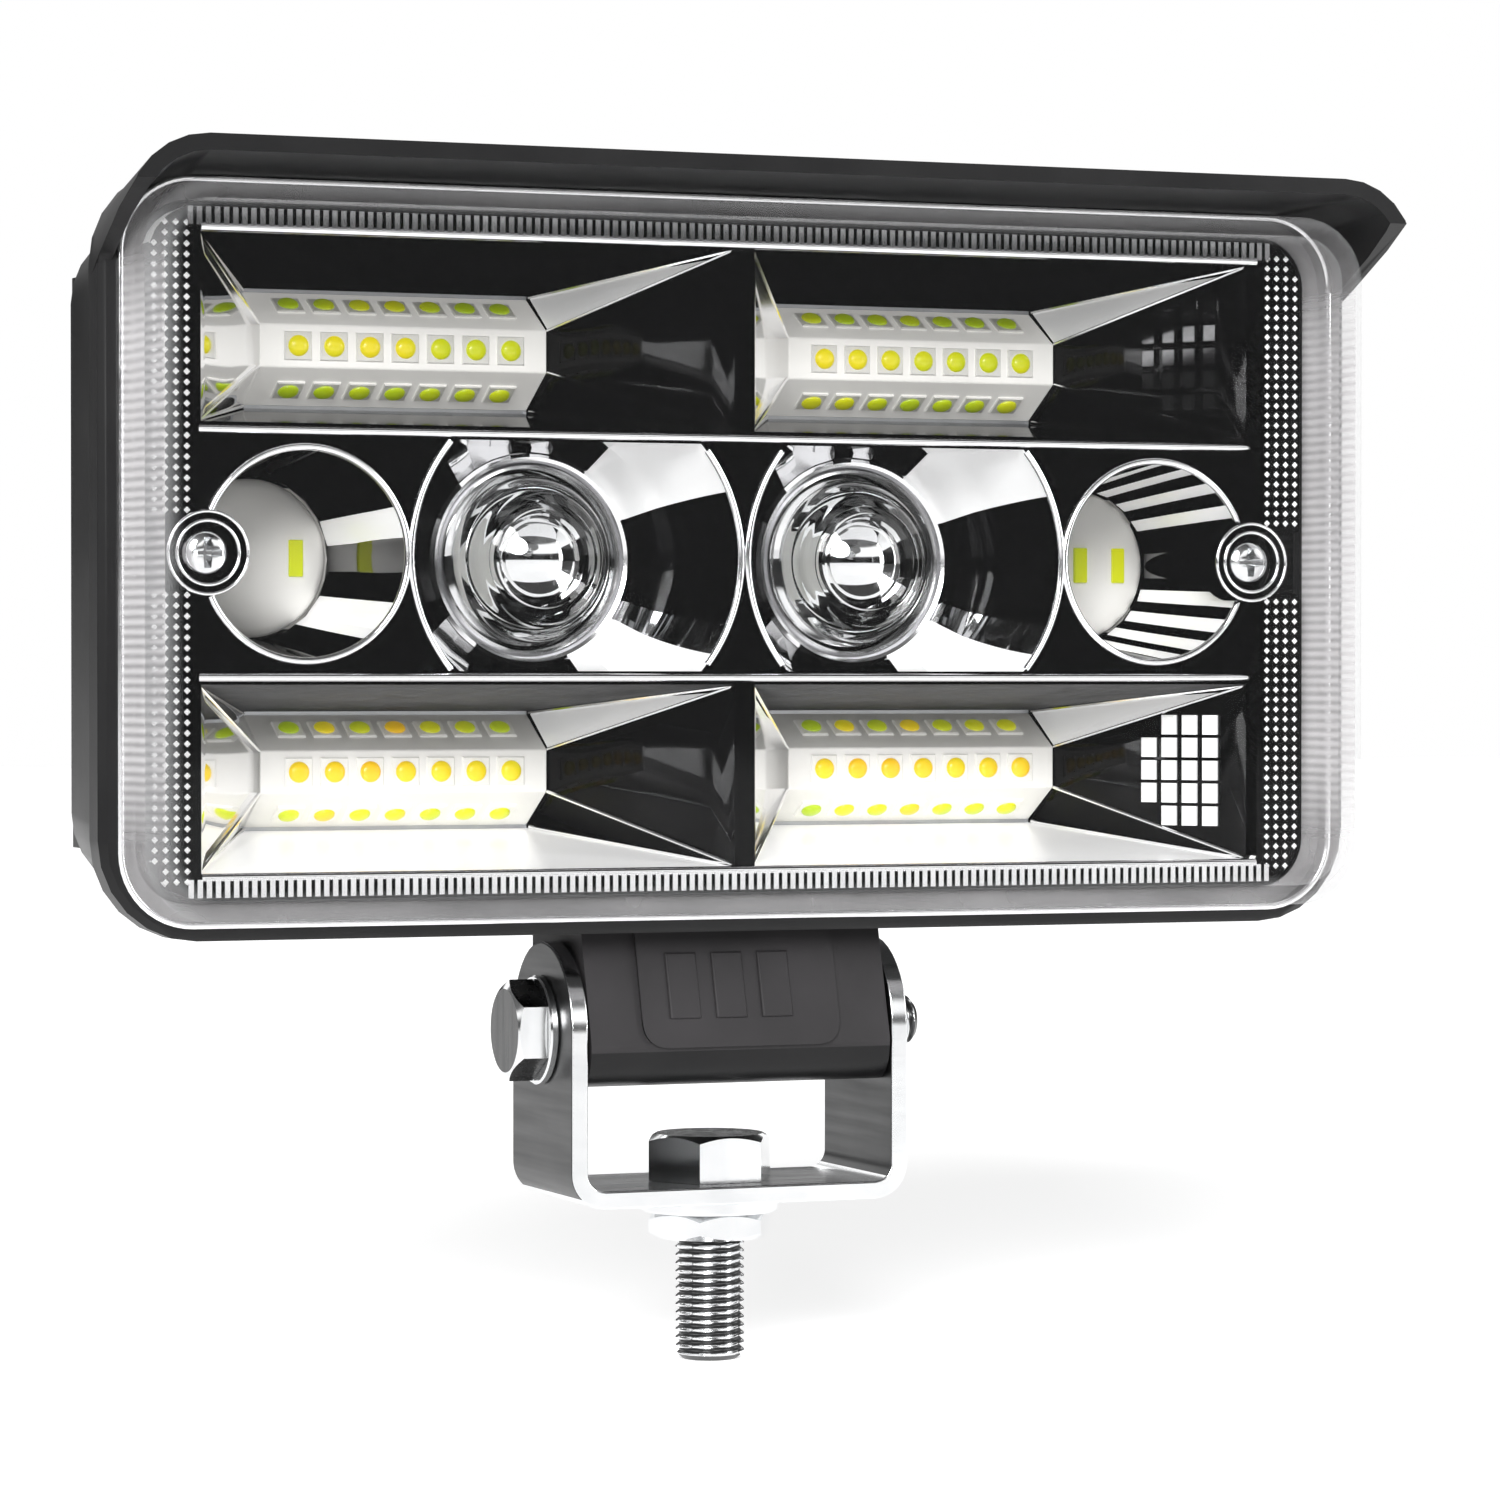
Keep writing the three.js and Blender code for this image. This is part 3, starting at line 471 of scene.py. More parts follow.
def combine(shapes):
    vertices, faces = [], []
    for one in shapes:
        offset = len(vertices)
        vertices += one[0]
        faces += [[offset + i for i in face] for face in one[1]]
    return vertices, faces


def plate(centre, along, over, normal, steps):
    """A small square plate that stands on a face. Each step is (height over the face, half width)."""
    rings = []
    for lift, half in steps:
        rings.append([centre + normal * lift + along * (u * half) + over * (v * half) for u, v in SQUARE])
    return loft(rings)


def circle(centre, out, over, radius, sides):
    angles = [2 * math.pi * k / sides for k in range(sides)]
    return [Vector(centre) + radius * (out * math.cos(a) + over * math.sin(a)) for a in angles]


def tube(points, radius, closed=False):
    """A round bar along points that lie in one plane of constant Y."""
    back, rings, last = Vector((0, 1, 0)), [], len(points) - 1
    for i, point in enumerate(points):
        before = Vector(points[i - 1] if closed or i else point)
        after = Vector(points[(i + 1) % (last + 1)] if closed or i < last else point)
        out = (after - before).normalized().cross(back).normalized()
        rings.append(circle(point, out, back, radius, 10))
    return loft(rings, closed=not closed)


def rounded_rectangle(half_w, half_h, radius, y, steps=10):
    """Points of a rounded rectangle round the lamp head's centre."""
    points = []
    for quarter, (sx, sz) in enumerate([(1, 1), (-1, 1), (-1, -1), (1, -1)]):
        for i in range(steps + 1):
            angle = (quarter + i / steps) * math.pi / 2
            x = sx * (half_w - radius) + radius * math.cos(angle)
            z = sz * (half_h - radius) + radius * math.sin(angle)
            points.append((x, y, HEAD_Z + z))
    return points


def carve(obj, tool, operation):
    """Cuts or trims obj by tool for good, and removes the tool."""
    modifier = obj.modifiers.new("carve", "BOOLEAN")
    modifier.operation = operation
    modifier.solver = "EXACT"
    modifier.object = tool
    graph = bpy.context.evaluated_depsgraph_get()
    mesh = bpy.data.meshes.new_from_object(obj.evaluated_get(graph))
    obj.modifiers.remove(modifier)
    obj.data = mesh
    bpy.data.objects.remove(tool)
    shade(obj.data, 30)


def refined(node, name, materials, body, angle=30, bevel=0.0):
    """A cleaned copy of a CAD node, with merged faces and shaded edges."""
    build = bmesh.new()
    build.from_mesh(NODES[node].data)
    bmesh.ops.remove_doubles(build, verts=build.verts, dist=0.002 * MM)
    bmesh.ops.dissolve_limit(build, angle_limit=math.radians(0.4), verts=build.verts, edges=build.edges)
    mesh = bpy.data.meshes.new(name)
    build.to_mesh(mesh)
    build.free()
    obj = finish_mesh(name, mesh, materials, angle, bevel)
    weights = obj.modifiers.new("flat_faces", "WEIGHTED_NORMAL")
    weights.keep_sharp = True
    settle(obj, body, [node])
    return obj


def dress(node, mat):
    """Gives a carried-over CAD node its material."""
    for place in NODES[node].material_slots:
        place.link = "OBJECT"
        place.material = mat


# ---------------------------------------------------------------- bracket, bolts and nuts

def hex_prism(across, start, end, centre, axis, turn):
    radius = across / math.sqrt(3)
    angles = [turn + math.pi * i / 3 for i in range(6)]
    return loft([[turned_point(centre, axis, along, radius, a) for a in angles] for along in (start, end)])


def hex_piece(name, across, start, end, centre, axis, turn, body, replaces, both=False, bore=0.0):
    """A hexagon with its corners chamfered at its outer end, or at both ends."""
    corner, flat = across / math.sqrt(3) + 0.05, across * 0.475
    drop = (corner - flat) * math.tan(math.radians(30))
    inward = drop if end > start else -drop
    profile = [(start, 0), (start, flat if both else corner + 1)]
    profile += [(start + inward, corner)] if both else []
    profile += [(end - inward, corner), (end, flat), (end, 0)]
    obj = piece(name, hex_prism(across, start, end, centre, axis, turn), TURNED_STEEL, body,
                replaces=replaces)
    carve(obj, piece(name + "_tool", lathe(profile, centre, axis, 96), TURNED_STEEL, body), "INTERSECT")
    # The pivot head's outer end and its upper and lower facets get the dark end steel: painted shade and dark
    # reflections.
    if axis == "x" and not both:
        obj.data.materials.append(END_SHADE_STEEL)
        for polygon in obj.data.polygons:
            polygon.material_index = 1 if polygon.normal.x < -0.9 or abs(polygon.normal.z) > 0.5 else 0
    if bore:
        low, high = min(start, end) - 1, max(start, end) + 1
        tool = lathe([(low, 0), (low, bore), (high, bore), (high, 0)], centre, axis, 64)
        carve(obj, piece(name + "_bore", tool, TURNED_STEEL, body), "DIFFERENCE")
    add_bevel(obj, 0.14, 25)


def thread(name, centre, axis, start, end, radius, body):
    """A screw thread: a fine grid round the axis whose radius follows one helix, tapered at its end."""
    rows = int(abs(end - start) / THREAD["pitch"] * THREAD["per_pitch"])
    columns = THREAD["per_turn"]
    rings = []
    for row in range(rows + 1):
        along = start + (end - start) * row / rows
        tip = radius - THREAD["depth"] - 0.35 + abs(along - end) * 1.1
        ring = []
        for column in range(columns):
            phase = (along / THREAD["pitch"] - column / columns) % 1
            crest = min(max(1.3 * (1 - abs(2 * phase - 1)) - 0.15, 0), 1)
            r = min(radius - THREAD["depth"] * (1 - crest), max(tip, 0.5))
            ring.append(turned_point(centre, axis, along, r, 2 * math.pi * column / columns))
        rings.append(ring)
    vertices, faces = loft(rings)
    # Faces deep in the groove get the darker groove steel: painted shade.
    groove_shade = [1 if in_groove(vertices, face, centre, axis, radius) else 0 for face in faces]
    piece(name, (vertices, faces, groove_shade), [TURNED_STEEL, GROOVE_SHADE_STEEL], body, 35)


def in_groove(vertices, face, centre, axis, radius):
    """Whether a face of a thread lies in the lower part of its groove."""
    middle = sum((Vector(vertices[i]) for i in face), Vector()) / len(face) - Vector(centre)
    middle["xyz".index(axis)] = 0
    return len(face) == 4 and middle.length < radius - THREAD["depth"] * 0.45


def washer(name, node, centre, axis, body):
    low, high = span(node)
    start, end = getattr(low, axis), getattr(high, axis)
    outer, chamfer = (high.y - low.y) / 2, 0.2
    inner = outer * 0.52
    profile = [(start, inner), (start, outer - chamfer), (start + chamfer, outer), (end - chamfer, outer),
               (end, outer - chamfer), (end, inner)]
    piece(name, ring_lathe(profile, centre, axis, 72), TURNED_STEEL, body, replaces=[node])


def stud_pieces():
    centre, across = (0, 0, 0), STUD_HIGH.y - STUD_LOW.y
    strap_thick, gap = 2.0, 0.05
    head_low = span("u_bracket")[0].z + strap_thick + gap
    hex_piece("stud_head", across, head_low, STUD_HIGH.z, centre, "z", 0, "stud", ["stud_bolt"])
    nut_low, nut_high = span("stud_nut")
    hex_piece("stud_locknut", across, nut_low.z, nut_high.z, centre, "z", 0, "stud", ["stud_nut"], True,
              STUD_R + BORE_PLAY)
    thread("stud_thread", centre, "z", head_low + 0.5, STUD_LOW.z, STUD_R - THREAD_PLAY, "stud")
    washer("stud_flat_washer", "stud_washer", centre, "z", "stud")


def pivot_pieces():
    centre, across = (0, 0, PIVOT_Z), PIVOT_HIGH.y - PIVOT_LOW.y
    head_in = span("pivot_washer_left")[0].x - 0.05
    upright = math.pi / 2
    hex_piece("pivot_head", across, head_in, PIVOT_LOW.x, centre, "x", upright, "bracket", ["pivot_bolt"])
    nut_low, nut_high = span("pivot_nut")
    hex_piece("pivot_locknut", across, nut_low.x, nut_high.x, centre, "x", upright, "bracket",
              ["pivot_nut"], True, PIVOT_R + BORE_PLAY)
    thread("pivot_thread", centre, "x", head_in + 0.5, PIVOT_HIGH.x, PIVOT_R - THREAD_PLAY, "bracket")
    for name in ("left", "right"):
        washer(f"pivot_flat_washer_{name}", f"pivot_washer_{name}", centre, "x", "bracket")


def bracket_piece():
    """The strap's broad upright faces are rolled and dull, and a dark copy of the steel paints shade and dark
    reflections on them. Its sheared edges and its base are bright.
    """
    finishes = [STRAP_STEEL, STRAP_FACE_SHADE]
    strap = refined("u_bracket", "bracket_strap", finishes, "bracket", 30, 0.25)
    for polygon in strap.data.polygons:
        polygon.material_index = 1 if abs(polygon.normal.x) > 0.7 else 0


# ---------------------------------------------------------------- housing

def housing_pieces():
    lug_height = 17.2
    casting = refined("housing", "housing_casting", [COAT, LUG_PAINT], "head", 32)
    lug_top = (span("housing")[0].z + lug_height) * MM
    for polygon in casting.data.polygons:
        # Lug faces that turn downward keep the darker coat: painted shade under the lug.
        on_lug = polygon.center.z < lug_top and polygon.normal.z > -0.05
        polygon.material_index = 1 if on_lug else 0


def lug_badge():
    """Three plain raised bars on the lug's sloping front, where the real lamp carries lettering."""
    middle_x, pitch, half_w, top, bottom = -1.2, 5.6, 1.9, 28.6, 21.2
    bars = []
    for i in (-1, 0, 1):
        x = middle_x + i * pitch
        corners = ((x - half_w, top, 1, -1), (x + half_w, top, -1, -1), (x + half_w, bottom, -1, 1),
                   (x - half_w, bottom, 1, 1))
        rings = []
        for lift, inset in ((0.6, 0), (-0.15, 0), (-0.32, 0.18)):
            rings.append([(cx + dx * inset, lug_front(cz + dz * inset) + lift, cz + dz * inset)
                          for cx, cz, dx, dz in corners])
        bars.append(loft(rings))
    piece("lug_bars", combine(bars), LUG_PAINT, "head", 30, 0.12)


def lug_front(z):
    """Y of the lug's raised panel at a height z."""
    (high_z, high_y), (low_z, low_y) = (35.0, -6.2), (18.0, -10.8)
    return high_y + (high_z - z) / (high_z - low_z) * (low_y - high_y)


# ---------------------------------------------------------------- lens cover

def lens_rings(inset, front, base):
    """Sections of the lens cover from its base to its rounded front edge."""
    half_w, half_h = LENS_HIGH.x - inset, (LENS_HIGH.z - LENS_LOW.z) / 2 - inset
    edge, corner = LENS["edge"] - inset, LENS["corner"] - inset
    start = LENS_LOW.y + LENS["edge"]
    rings = [rounded_rectangle(half_w, half_h, corner, base)]
    steps = 10
    for i in range(steps + 1):
        angle = i / steps * math.pi / 2
        pull = LENS["draft"] + edge * (1 - math.cos(angle))
        y = start - (start - front) * math.sin(angle)
        rings.append(rounded_rectangle(half_w - pull, half_h - pull, max(corner - pull, 0.5), y))
    return rings


def lens_pieces():
    """The cover is one shell. Its face, its two upright side walls and its other walls differ in finish."""
    face_finish, side_finish, wall_finish = range(3)
    outer = lens_rings(0, LENS_LOW.y, LENS_HIGH.y)
    inner = lens_rings(LENS["wall"], LENS_LOW.y + LENS["wall"], LENS_HIGH.y)
    rings = outer + inner[::-1]
    vertices = [point for ring in rings for point in ring]
    count, outers, total = len(outer[0]), len(outer), len(rings)
    upright = (count // 2 - 1, count - 1)
    faces, finishes = [], []
    for level in range(total):
        if level == outers - 1:
            continue
        after = (level + 1) % total
        faces += bridge([level * count + i for i in range(count)], [after * count + i for i in range(count)])
        on_wall = level in (0, total - 2, total - 1)
        for i in range(count):
            finish = side_finish if i in upright else wall_finish
            finishes.append(finish if on_wall else face_finish)
    faces += [[(outers - 1) * count + i for i in range(count)], [outers * count + i for i in range(count)]]
    finishes += [face_finish, face_finish]
    piece("lens_shell", (vertices, faces, finishes), [CLEAR_FACE, FLUTED, FROSTED], "head", 40,
          replaces=["lens_cover"])
    # A chrome ring round the cover's base stands in for the bright line of light along the clear edge: a
    # painted highlight.
    half_w, half_h = LENS_HIGH.x + 0.05, (LENS_HIGH.z - LENS_LOW.z) / 2 + 0.05
    edge_highlight = rounded_rectangle(half_w, half_h, LENS["corner"], LENS["edge_highlight_y"], 12)
    plated("lens_edge_highlight", tube(edge_highlight, 0.42, True), MIRROR_BORDER, 60)


# ---------------------------------------------------------------- reflector

def plated(name, shape, materials, angle, replaces=()):
    """A chromed piece of the head."""
    piece(name, shape, materials, "head", angle, replaces=replaces)


def rim(name, x, radius, y, first, last, steps, thick, closed=False):
    """A bright rounded edge along an arc round (x, HEAD_Z). Its angles are in degrees."""
    angles = [math.radians(first + (last - first) * i / steps) for i in range(steps + 1)]
    points = [(x + radius * math.cos(a), y, HEAD_Z + radius * math.sin(a)) for a in angles]
    plated(name, tube(points, thick, closed), MIRROR_BORDER, 50)


def bowl_shape(side):
    """A bowl lined with long radial facets, each folded along its middle."""
    levels, skin = 7, 0.12
    sides = 2 * BOWL["facets"]
    rings = []
    for wall, order in ((0, range(levels + 1)), (skin, range(levels, -1, -1))):
        for i in order:
            t = i / levels
            square = BOWL["throat"] ** 2 + (BOWL["mouth"] ** 2 - BOWL["throat"] ** 2) * (1 - t)
            ring = []
            for k in range(sides):
                fold = 1 + BOWL["ripple"] * (0.5 if k % 2 else -0.5) * (1 - 0.4 * t)
                radius, angle = (math.sqrt(square) + wall) * fold, 2 * math.pi * k / sides
                ring.append((side * BOWL_X + radius * math.cos(angle), PLATE_Y + t * BOWL["depth"],
                             HEAD_Z + radius * math.sin(angle)))
            rings.append(ring)
    vertices, faces = loft(rings, closed=False)
    return vertices, faces, [bowl_tone(face, sides, side) for face in faces]


def bowl_tone(face, sides, side):
    """The tone of a half facet: a painted reflection or painted shade. The bright and white ones fan out on
    the right of each bowl.
    """
    columns = [i % sides for i in face]
    column = min(columns) if max(columns) - min(columns) == 1 else sides - 1
    turn = ((column + 0.5) * 360 / sides + 180) % 360 - 180
    if side > 0 and 14 < abs(turn) < 92:
        return WHITE if column % 2 else DARK
    if side < 0 and (8 < turn < 27 or -54 < turn < -26):
        return WHITE
    return SHADED if 96 < abs(turn) < 128 or abs(turn) < 6 else DARK


def knurl_shape(side):
    """Columns of small pyramids down one side of the border, broken at the screw's pocket."""
    studs = []
    half, y = KNURL["size"] / 2, BORDER_Y + 0.2
    rows = int(KNURL["reach_z"] / KNURL["pitch_z"])
    for column in range(KNURL["columns"]):
        x = side * (KNURL["first_x"] + column * KNURL["pitch_x"])
        last = column == KNURL["columns"] - 1
        for row in range(-rows, rows + 1):
            up = row * KNURL["pitch_z"]
            if abs(up) < KNURL["pocket_z"] or (last and abs(up) > KNURL["corner_z"]):
                continue
            z = HEAD_Z + up
            base = [(x - half, y, z), (x, y, z - half), (x + half, y, z), (x, y, z + half)]
            tip = (x, BORDER_Y - KNURL["height"], z)
            studs.append((base + [tip], [[0, 1, 2, 3], [0, 1, 4], [1, 2, 4], [2, 3, 4], [3, 0, 4]]))
    return combine(studs)


def rib_shape(level):
    """A row of short upright ribs along the top or bottom of the border."""
    count, half = int(RIB["reach_x"] / RIB["pitch"]), RIB["width"] / 2
    low, high = sorted((HEAD_Z + level * RIB["near_z"], HEAD_Z + level * RIB["far_z"]))
    places = [i * RIB["pitch"] for i in range(-count, count + 1)]
    return combine([block(x - half, x + half, BORDER_Y - RIB["height"], BORDER_Y + 0.2, low, high)
                    for x in places])


def cup_tone(across, up):
    """A cup's wall is painted bright at the upper and lower right, and mostly dark elsewhere: painted
    reflections and shade.
    """
    turn = math.degrees(math.atan2(up, across))
    if 22 < turn < 56 or -62 < turn <= -34:
        return WHITE
    if -34 < turn < -24 or 104 < turn < 130 or -150 < turn < -128 or 84 < turn < 92:
        return BRIGHT
    return SHADED if abs(turn) > 160 else DARK


def mirror_tone(centre, normal):
    """The tone of a face of the reflector: which lit or shaded copy of the chrome paints its reflection."""
    up = centre.z - HEAD_Z
    in_front = centre.y < PLATE_Y + 1
    if in_front and (normal.y < -0.9 or abs(up) < MIDDLE_ROW + 0.1):
        return DARK
    if abs(up) < MIDDLE_ROW:
        return cup_tone(centre.x - math.copysign(CUP_X, centre.x), up)
    if normal.x > 0.4:
        return BRIGHT
    if normal.x < -0.2 and normal.z > 0.3:
        return WHITE
    if up > 0 or normal.x < -0.4:
        return DARK
    return WHITE if normal.z > 0 else GRAY


def wire(first, second, radius):
    """A thin straight bar between two points."""
    along = (Vector(second) - Vector(first)).normalized()
    out = along.orthogonal().normalized()
    return loft([circle(end, out, along.cross(out), radius, 6) for end in (first, second)])


def crease_shape(side, level):
    """The rounded ridges that run from a light bar's ends to the corners of its trough's mouth."""
    wires = []
    for end in ("inner", "outer"):
        bar_x, mouth_x = side * TROUGH[f"{end}_bar_x"], side * TROUGH[f"{end}_x"]
        for sign, mouth_z in ((-1, TROUGH["near_z"]), (1, TROUGH["far_z"])):
            corner = (mouth_x, PLATE_Y + 0.4, HEAD_Z + level * mouth_z)
            for y, reach in ((13.1, BAR["half_front"]), (19.4, 6.7)):
                wires.append(wire((bar_x, y, HEAD_Z + level * (TROUGH["bar_z"] + sign * reach)), corner, 0.2))
    return combine(wires)


def optic_cell_shape(side, level):
    """A lattice of small bright cells on the end wall of a trough."""
    pitch, stretch, steps = 2.7, 1.15, ((-0.1, 1.0), (0.25, 1.0), (0.4, 0.8))
    bar, mouth = Vector((side * 50, 13, 0)), Vector((side * 63.8, PLATE_Y + 0.2, 0))
    slope = (mouth - bar).normalized()
    normal = Vector((-side * abs(slope.y), -abs(slope.x), 0)).normalized()
    cells = []
    for column in range(4):
        share = 0.5 + column * 0.105
        half_wall = BAR["half_front"] + (10.3 - BAR["half_front"]) * share
        for row in range(-3, 3):
            if abs(row * pitch) + 1.1 > half_wall:
                continue
            centre = bar.lerp(mouth, share) + Vector((0, 0, HEAD_Z + level * 24.5 + row * pitch))
            cells.append(plate(centre, slope, Vector((0, 0, stretch)), normal, steps))
    return combine(cells)


def side_pieces(name, side):
    """What one half of the reflector carries."""
    plated(f"bowl_facets_{name}", bowl_shape(side), TONES[:4], 4)
    outward = 0 if side > 0 else 180
    hidden = 23.5                       # half the angle of the bowl's rim that the screw boss hides
    rim(f"bowl_rim_{name}", side * BOWL_X, 11.75, PLATE_Y, outward + hidden, outward + 360 - hidden, 64, 0.42)
    for end, towards, reach in (("inner", 180 - outward, 38), ("outer", outward, 40)):
        rim(f"cup_rim_{end}_{name}", side * CUP_X, 19.6, PLATE_Y, towards - reach, towards + reach, 24, 0.4)
    for ring, radius in (("inner", 3.5), ("outer", 4.5)):
        rim(f"boss_ring_{ring}_{name}", side * SCREW_X, radius, BORDER_Y - 0.35, 0, 354, 40, 0.2, True)
    # The knurl is in the white satin copy of the chrome: painted light.
    plated(f"knurl_{name}", knurl_shape(side), SATIN_LIT, 0)
    for row, level in LEVELS:
        plated(f"trough_ridges_{row}_{name}", crease_shape(side, level), MIRROR_BORDER, 40)
        if side > 0:
            # The top row's cells get the shaded chrome, the bottom row's the white satin copy: painted shade
            # in the top row and painted light in the bottom row.
            finish = MIRROR_SHADE if level > 0 else SATIN_LIT
            plated(f"optic_cells_{row}_{name}", optic_cell_shape(side, level), finish, 0)


def reflector_pieces():
    shell = refined("reflector", "reflector_shell", TONES, "head", 24)
    # Each face of the shell gets a lit or shaded copy of the chrome: painted reflections and painted shade.
    for polygon in shell.data.polygons:
        polygon.material_index = mirror_tone(polygon.center / MM, polygon.normal)
    for name, side in SIDES:
        side_pieces(name, side)
    for name, level in LEVELS:
        plated(f"border_ribs_{name}", rib_shape(level), MIRROR_BORDER, 0)
        for edge, z, y in (("inner", MIDDLE_ROW, PLATE_Y), ("outer", 35.25, BORDER_Y)):
            bar = [(x, y, HEAD_Z + level * z) for x in (-64, 64)]
            plated(f"divider_{edge}_{name}", tube(bar, 0.5), MIRROR_BORDER, 50)


# ---------------------------------------------------------------- light bars

def on_board(name, shape, mat, angle, bevel=0.0, replaces=()):
    """A white or glowing piece of the head."""
    piece(name, shape, mat, "head", angle, bevel, replaces)


def facet_frames(node):
    """For a bar's three faces: (name, centre of the emitter row, direction across, outward normal)."""
    low, high = span(node)
    centre = Vector((middle(node, "x"), low.y, middle(node, "z")))
    depth, rise = high.y - low.y, (high.z - low.z) / 2 - BAR["half_front"]
    across = Vector((0, depth, rise)).normalized()
    frames = [("front", centre, Vector((0, 0, 1)), Vector((0, -1, 0)))]
    for name, sign in (("upper", 1), ("lower", -1)):
        share = BAR["row_share"]
        row = centre + Vector((0, share * depth, sign * (BAR["half_front"] + share * rise)))
        frames.append((name, row, Vector((0, across.y, sign * across.z)),
                       Vector((0, -across.z, sign * across.y))))
    return frames


def package_shape(centre, over, normal):
    half, lip = LED["side"] / 2, 0.12
    steps = ((-0.1, half), (LED["thick"] - lip, half), (LED["thick"], half - lip))
    return plate(centre, Vector((1, 0, 0)), over, normal, steps)


def dome_shape(centre, over, normal):
    """An emitter: a short round wall with a dome on it."""
    radius, along = LED["dot"], Vector((1, 0, 0))
    sides, levels, wall = 20, 4, 0.12
    profile = [(0, radius)]
    for i in range(levels):
        angle = i / levels * math.pi / 2
        profile.append((wall + LED["dome"] * math.sin(angle), radius * math.cos(angle)))
    vertices = []
    for lift, r in profile:
        vertices += circle(centre + normal * lift, along, over, r, sides)
    rings = [list(range(i * sides, (i + 1) * sides)) for i in range(levels + 1)] + [[len(vertices)]]
    vertices.append(centre + normal * (wall + LED["dome"]))
    return vertices, [rings[0]] + bridges(rings)


def bar_pieces(level_name, level, side_name):
    """A folded board with three rows of emitters: the front row is warmer in colour than the side rows."""
    tag = f"{level_name}_{side_name}"
    node = f"led_board_{tag}"
    # The boards under the visor get the stronger glow: painted light against the visor's shadow.
    board = BOARD if level < 0 else BOARD_LIT_UNDER_VISOR
    refined(node, f"bar_board_{tag}", board, "head", 30, 0.15)
    dress(f"bar_core_{tag}", ALLOY)
    packages, side_dots, front_dots = [], [], []
    for facet, centre, over, normal in facet_frames(node):
        for i in range(LED["count"]):
            spot = centre + Vector(((i - (LED["count"] - 1) / 2) * LED["pitch"], 0, 0))
            packages.append(package_shape(spot, over, normal))
            warm = facet == "front" or (level < 0 and i in (1, 3))
            dots = front_dots if warm else side_dots
            dots.append(dome_shape(spot + normal * (LED["thick"] - 0.05), over, normal))
    on_board(f"led_packages_{tag}", combine(packages), LIT_PACKAGE, 0)
    on_board(f"led_dots_side_{tag}", combine(side_dots), GREEN_GLOW, 50)
    on_board(f"led_dots_front_{tag}", combine(front_dots), AMBER_GLOW if level < 0 else YELLOW_GLOW, 50)


# ---------------------------------------------------------------- middle row

def condenser_pieces(name, side):
    """A domed lens seated in stepped rings, with a mirrored core behind it."""
    low, high = span(f"condenser_lens_{name}")
    centre = (side * CUP_X, 0, HEAD_Z)
    dome_r, flange_y = 9.7, low.y + 7.8
    dome = [(low.y, 0)]
    for radius in (1, 2, 3, 4, 4.9, 5.6, 5.7, 6.4, 6.5, 7.2, 7.8, 7.9, 8.5, 8.6, 9.1, 9.4, 9.6):
        groove = 0.5 if 5.65 < radius < 6.45 or 7.85 < radius < 8.55 else 0
        dome.append((low.y + 7.4 * (1 - math.sqrt(1 - (radius / dome_r) ** 2)) + groove, radius))
    dome += [(flange_y, 9.9), (flange_y, 11.4), (high.y, 11.4), (high.y, 0)]
    piece(f"condenser_dome_{name}", lathe(dome, centre, "y", 72), OPTIC, "head", 40,
          replaces=[f"condenser_lens_{name}"])
    bezel = [(6.9, 12.1), (5.2, 12.1), (4.7, 11.7), (4.9, 11.3), (5.8, 11.1), (5.0, 10.8), (5.2, 10.5),
             (6.9, 10.4)]
    plated(f"condenser_bezel_{name}", ring_lathe(bezel, centre, "y", 72), MIRROR_BORDER, 30,
           [f"condenser_ring_{name}"])
    core = [(low.y + 2.0, 0)] + [(low.y + 2.0 + r * r / 14, r) for r in (1, 2, 3, 3.8, 4.4, 4.8)]
    core += [(low.y + 4.6, 4.9), (low.y + 4.6, 0)]
    plated(f"condenser_core_{name}", lathe(core, centre, "y", 64), MIRROR, 40)
    mouth_y, mouth_r, back_y, sides = 8.8, 10.4, 11.0, 72
    cone = []
    for i in range(7):
        y, radius = mouth_y + i * 0.28, mouth_r - i * 1.35
        cone += [(y, radius), (y + 0.2, radius - 0.5)]
    cone += [(back_y, cone[-1][1]), (back_y, mouth_r + 0.2), (mouth_y, mouth_r + 0.2)]
    vertices, faces = ring_lathe(cone, centre, "y", sides)
    # Alternate rings get bright and dark chrome: painted reflections.
    reflection_rings = [i // sides % 2 for i in range(len(faces))]
    plated(f"condenser_steps_{name}", (vertices, faces, reflection_rings), [MIRROR, MIRROR_PAINTED_DARK], 20)
    dress(f"cup_emitter_{name}", LIT_PACKAGE)


def bowl_light_pieces(name, side):
    """The white domed base at the bottom of a bowl, and its narrow emitters: two left, three right."""
    low, high = span(f"bowl_emitter_{name}")
    front, foot, radius = low.y, high.y - 0.5, (high.x - low.x) / 2
    dome = [(front, 0), (front + 0.05, radius * 0.45), (front + 0.25, radius * 0.7),
            (front + 0.6, radius * 0.88), (front + 1.2, radius * 0.97), (front + 1.7, radius),
            (foot, radius), (foot, radius * 0.75), (high.y, radius * 0.75), (high.y, 0)]
    on_board(f"bowl_base_{name}", lathe(dome, (side * BOWL_X, 0, HEAD_Z), "y", 64), BOARD, 40,
             replaces=[f"bowl_emitter_{name}"])
    pitch, half_w, half_h = 5.1, 0.85, 2.1
    chips = []
    for i in (-1, 0, 1) if side > 0 else (-1, 1):
        x, y = side * BOWL_X + i * pitch, front if i == 0 else front + 0.3
        chips.append(block(x - half_w, x + half_w, y - 0.45, y + 0.2, HEAD_Z - half_h, HEAD_Z + half_h))
    on_board(f"bowl_chips_{name}", combine(chips), GREEN_GLOW, 0, 0.15)


